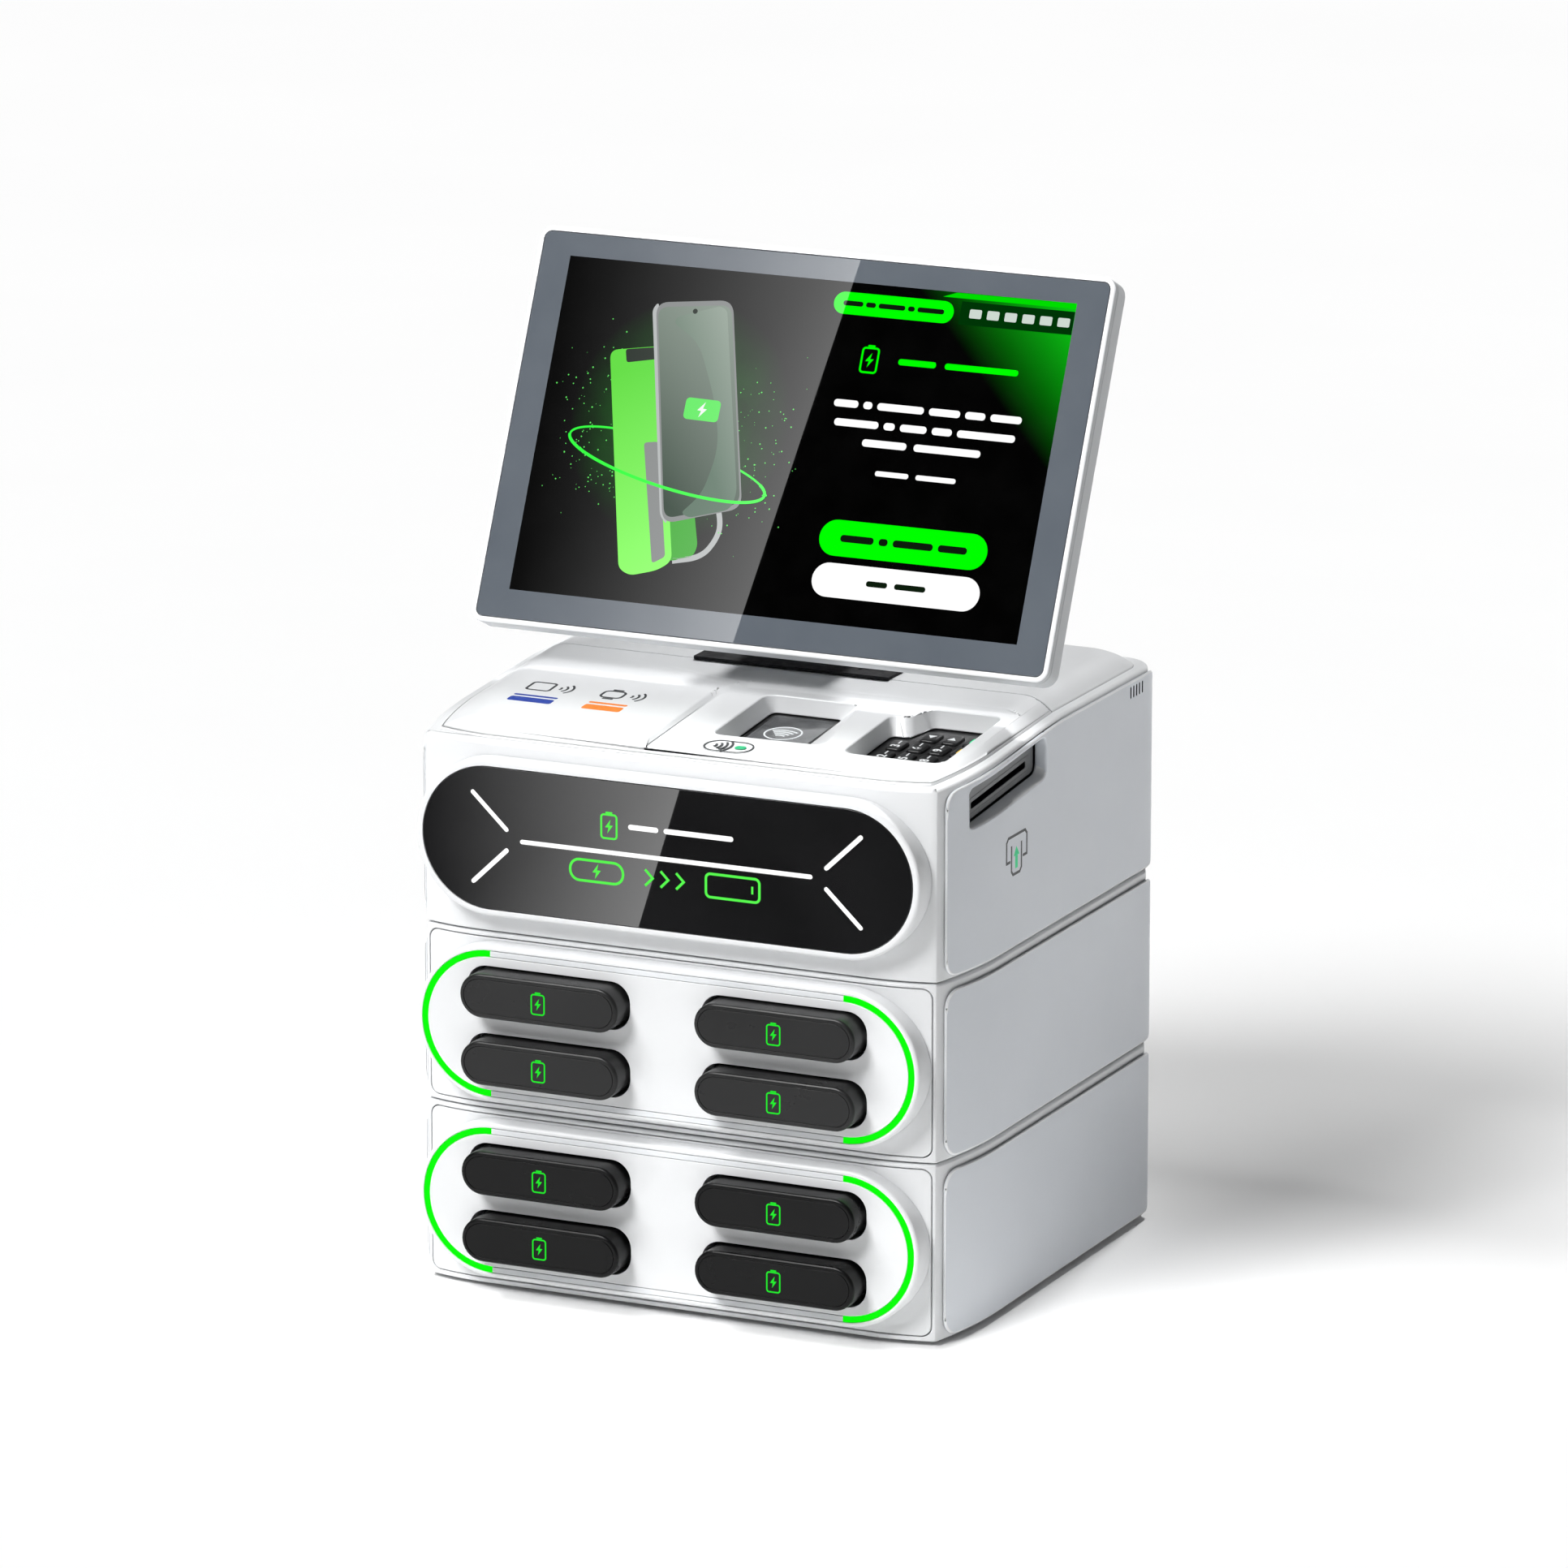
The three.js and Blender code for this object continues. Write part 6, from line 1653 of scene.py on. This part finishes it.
def add_stand():
    """Arm with a filleted foot, its knuckle round the hinge pin."""
    pin_low, pin_high = span("hinge_pin")
    hinge_y, hinge_z = (pin_low.y + pin_high.y) / 2, (pin_low.z + pin_high.z) / 2
    low, high = span("stand_arm")
    foot_top = low.z + STAND_FOOT_HEIGHT
    foot = prism_z(rounded_rect(low.x, high.x, STAND_FOOT_Y, high.y, 8), low.z, foot_top, "screen_stand")
    base = Vector((NECK_FOOT_Y, foot_top))
    tip = Vector((hinge_y, hinge_z))
    along = (tip - base).normalized()
    across = Vector((-along.y, along.x))

    def flank(side):
        """One side of the neck, from its flared foot to the knuckle."""
        flare = [base + across * side * out + along * up for out, up in ((14, -4), (12, 0), (6.5, 8))]
        return [tuple(point) for point in flare + [tip + across * side * 5.5]]

    profile = smooth(flank(-1), 6) + smooth(flank(1)[::-1], 6)
    neck = prism_x(profile, -NECK_HALF_WIDTH, NECK_HALF_WIDTH)
    cut(neck, block(-60, 60, -100, 150, low.z - 60, foot_top - 0.6))
    knuckle = prism_x(circle(hinge_y, hinge_z, KNUCKLE_RADIUS, 40), -NECK_HALF_WIDTH, NECK_HALF_WIDTH)
    join(foot, neck, knuckle)
    cut(foot, prism_x(circle(hinge_y, hinge_z, PIN_BORE, 32), -60, 60))
    dress(foot, WHITE)
    soften(foot, 0.6, 3)
    piece(foot, "stand_arm")
    for i, (x, y) in enumerate(((-34, 44), (34, 44), (-34, 88), (34, 88))):
        screw = screw_head(f"stand_screw_{i + 1}", 3)
        screw.data.transform(Matrix.Translation(Vector((x, y, foot_top)) * MM))
        extra(dress(screw, STEEL))
    pin = prism_x(circle(hinge_y, hinge_z, PIN_RADIUS, 40), pin_low.x, pin_high.x, "hinge_shaft")
    dress(pin, STEEL)
    soften(pin, 0.5, 3)
    piece(pin, "hinge_pin")


def add_screen():
    add_screen_case()
    add_screen_glass()
    add_picture_menu()
    add_picture_phone()
    add_stand()


def dress_inner_pieces():
    """Materials for the CAD nodes that stay as they are."""
    kept = {
        "lower_slot_cage": CAGE, "upper_slot_cage": CAGE,
        "lower_contact_board": BOARD, "upper_contact_board": BOARD,
        "power_supply": ALUMINIUM, "control_board": BOARD, "screen_lcd_panel": PANEL_BLACK,
    }
    for node, material in kept.items():
        dress(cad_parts[node], material)


# ---------- stage ----------
def add_floor():
    mesh = bpy.data.meshes.new("floor")
    size = 30
    corners = [(-size, -size, 0), (size, -size, 0), (size, size, 0), (-size, size, 0)]
    mesh.from_pydata(corners, [], [(0, 1, 2, 3)])
    floor = place("floor", mesh)
    s = Shader("floor_paint", 0.7, specular=0.1)
    s.link(s.ramp(s.noise(3, 4), (0.965, 0.965, 0.965), (0.975, 0.975, 0.975)), s.bsdf.inputs["Base Color"])
    s.bsdf.inputs["Emission Color"].default_value = (1, 1, 1, 1)
    s.bsdf.inputs["Emission Strength"].default_value = 0.025
    dress(floor, s.material)


def mirrored_camera(origin, normal):
    return CAMERA_PLACE - normal * (2 * (CAMERA_PLACE - origin).dot(normal))


def reflector(name, origin, normal, corners, levels, distance, strength, curve=1.0):
    """A card seen only as a reflection: its corners lie behind the given points of a mirror plane, as the
    camera sees them in it. Each corner has a brightness level, and the card shades between them; a larger
    curve keeps more of it dark."""
    eye = mirrored_camera(origin, normal)
    centre = sum(corners, Vector()) / len(corners)
    towards = (centre - eye).normalized()
    plane_point = centre + towards * distance
    points = []
    for corner in corners:
        ray = (corner - eye).normalized()
        points.append(eye + ray * ((plane_point - eye).dot(towards) / ray.dot(towards)))
    mesh = bpy.data.meshes.new(name)
    mesh.from_pydata(points, [], [tuple(range(len(points)))])
    level = mesh.attributes.new("level", "FLOAT", "POINT")
    level.data.foreach_set("value", levels)
    card = place(name, mesh)
    material = bpy.data.materials.new(name + "_card")
    material.use_nodes = True
    tree = material.node_tree
    tree.nodes.clear()
    out = tree.nodes.new("ShaderNodeOutputMaterial")
    emission = tree.nodes.new("ShaderNodeEmission")
    attribute = tree.nodes.new("ShaderNodeAttribute")
    attribute.attribute_name = "level"
    value = attribute.outputs["Fac"]
    for operation, amount in (("POWER", curve), ("MULTIPLY", strength)):
        step = tree.nodes.new("ShaderNodeMath")
        step.operation = operation
        step.inputs[1].default_value = amount
        tree.links.new(value, step.inputs[0])
        value = step.outputs["Value"]
    tree.links.new(value, emission.inputs["Strength"])
    tree.links.new(emission.outputs["Emission"], out.inputs["Surface"])
    card.data.materials.append(material)
    for kind in ("camera", "diffuse", "shadow", "transmission", "volume_scatter"):
        setattr(card, "visible_" + kind, False)


def add_reflectors():
    """Cards that give the screen and the black panel their slanted band of light, and the dark behind it."""
    turn = SCREEN.to_3x3()
    origin = SCREEN.translation * MM
    normal = turn @ Vector((0, -1, 0))

    def glass(x, z):
        return (SCREEN @ Vector((x, 0, z))) * MM

    lit = [glass(-135, -95), glass(-12.008, -95), glass(18.208, 95), glass(-135, 95)]
    reflector("screen_light_card", origin, normal, lit, [0.0, 1.0, 1.0, 0.0], 0.8, 3.4, 1.85)
    flag = [glass(-150, -110), glass(150, -110), glass(150, 110), glass(-150, 110)]
    reflector("screen_dark_card", origin, normal, flag, [0.0] * 4, 1.05, 0.0)
    z = (span("head_black_panel")[0].z + span("head_black_panel")[1].z) / 2
    face = Vector((0, PILL_FACE_Y, z)) * MM
    front = Vector((0, -1, 0))

    def panel(x, dz):
        return Vector((x, PILL_FACE_Y, z + dz)) * MM

    lit = [panel(-112, -36), panel(-14.0, -36), panel(8.5, 36), panel(-112, 36)]
    reflector("panel_light_card", face, front, lit, [0.0, 1.0, 1.0, 0.0], 0.34, 4.5, 1.3)
    flag = [panel(-116, -40), panel(116, -40), panel(116, 40), panel(-116, 40)]
    reflector("panel_dark_card", face, front, flag, [0.0] * 4, 0.44, 0.0)


def add_sun(name, towards, strength, angle):
    data = bpy.data.lights.new(name, "SUN")
    data.energy = strength
    data.angle = math.radians(angle)
    sun = place(name, data)
    sun.rotation_mode = "QUATERNION"
    sun.rotation_quaternion = Vector(towards).to_track_quat("Z", "Y")


def add_deck_light():
    """Soft spot from behind and above that lifts the deck out of the screen's shadow."""
    data = bpy.data.lights.new("deck_light", "SPOT")
    data.energy = 220
    data.shadow_soft_size = 0.2
    data.spot_size = math.radians(12)
    data.spot_blend = 0.7
    spot = bpy.data.objects.new("deck_light", data)
    spot.location = (0.05, 0.85, 1.6)
    aim = Vector((0.03, 0.075, 0.25)) - spot.location
    spot.rotation_mode = "QUATERNION"
    spot.rotation_quaternion = (-aim).to_track_quat("Z", "Y")
    bpy.context.scene.collection.objects.link(spot)


def add_light():
    world = bpy.data.worlds.new("studio")
    world.use_nodes = True
    world.node_tree.nodes["Background"].inputs["Color"].default_value = (0.98, 0.99, 1.0, 1)
    world.node_tree.nodes["Background"].inputs["Strength"].default_value = 0.05
    bpy.context.scene.world = world
    add_sun("key", (-0.22, -0.58, 0.6), 2.25, 19)
    add_sun("upper_fill", (-0.36, -0.34, 0.82), 1.75, 20)
    add_deck_light()
    bpy.context.scene.view_settings.view_transform = "Standard"
    bpy.context.scene.view_settings.look = "None"


# ---------- assembly ----------
add_base()
add_battery_module("lower", LOWER_BANK)
add_battery_module("upper", UPPER_BANK)
add_head()
add_terminal()
add_screen()
dress_inner_pieces()
add_floor()
add_reflectors()
add_light()
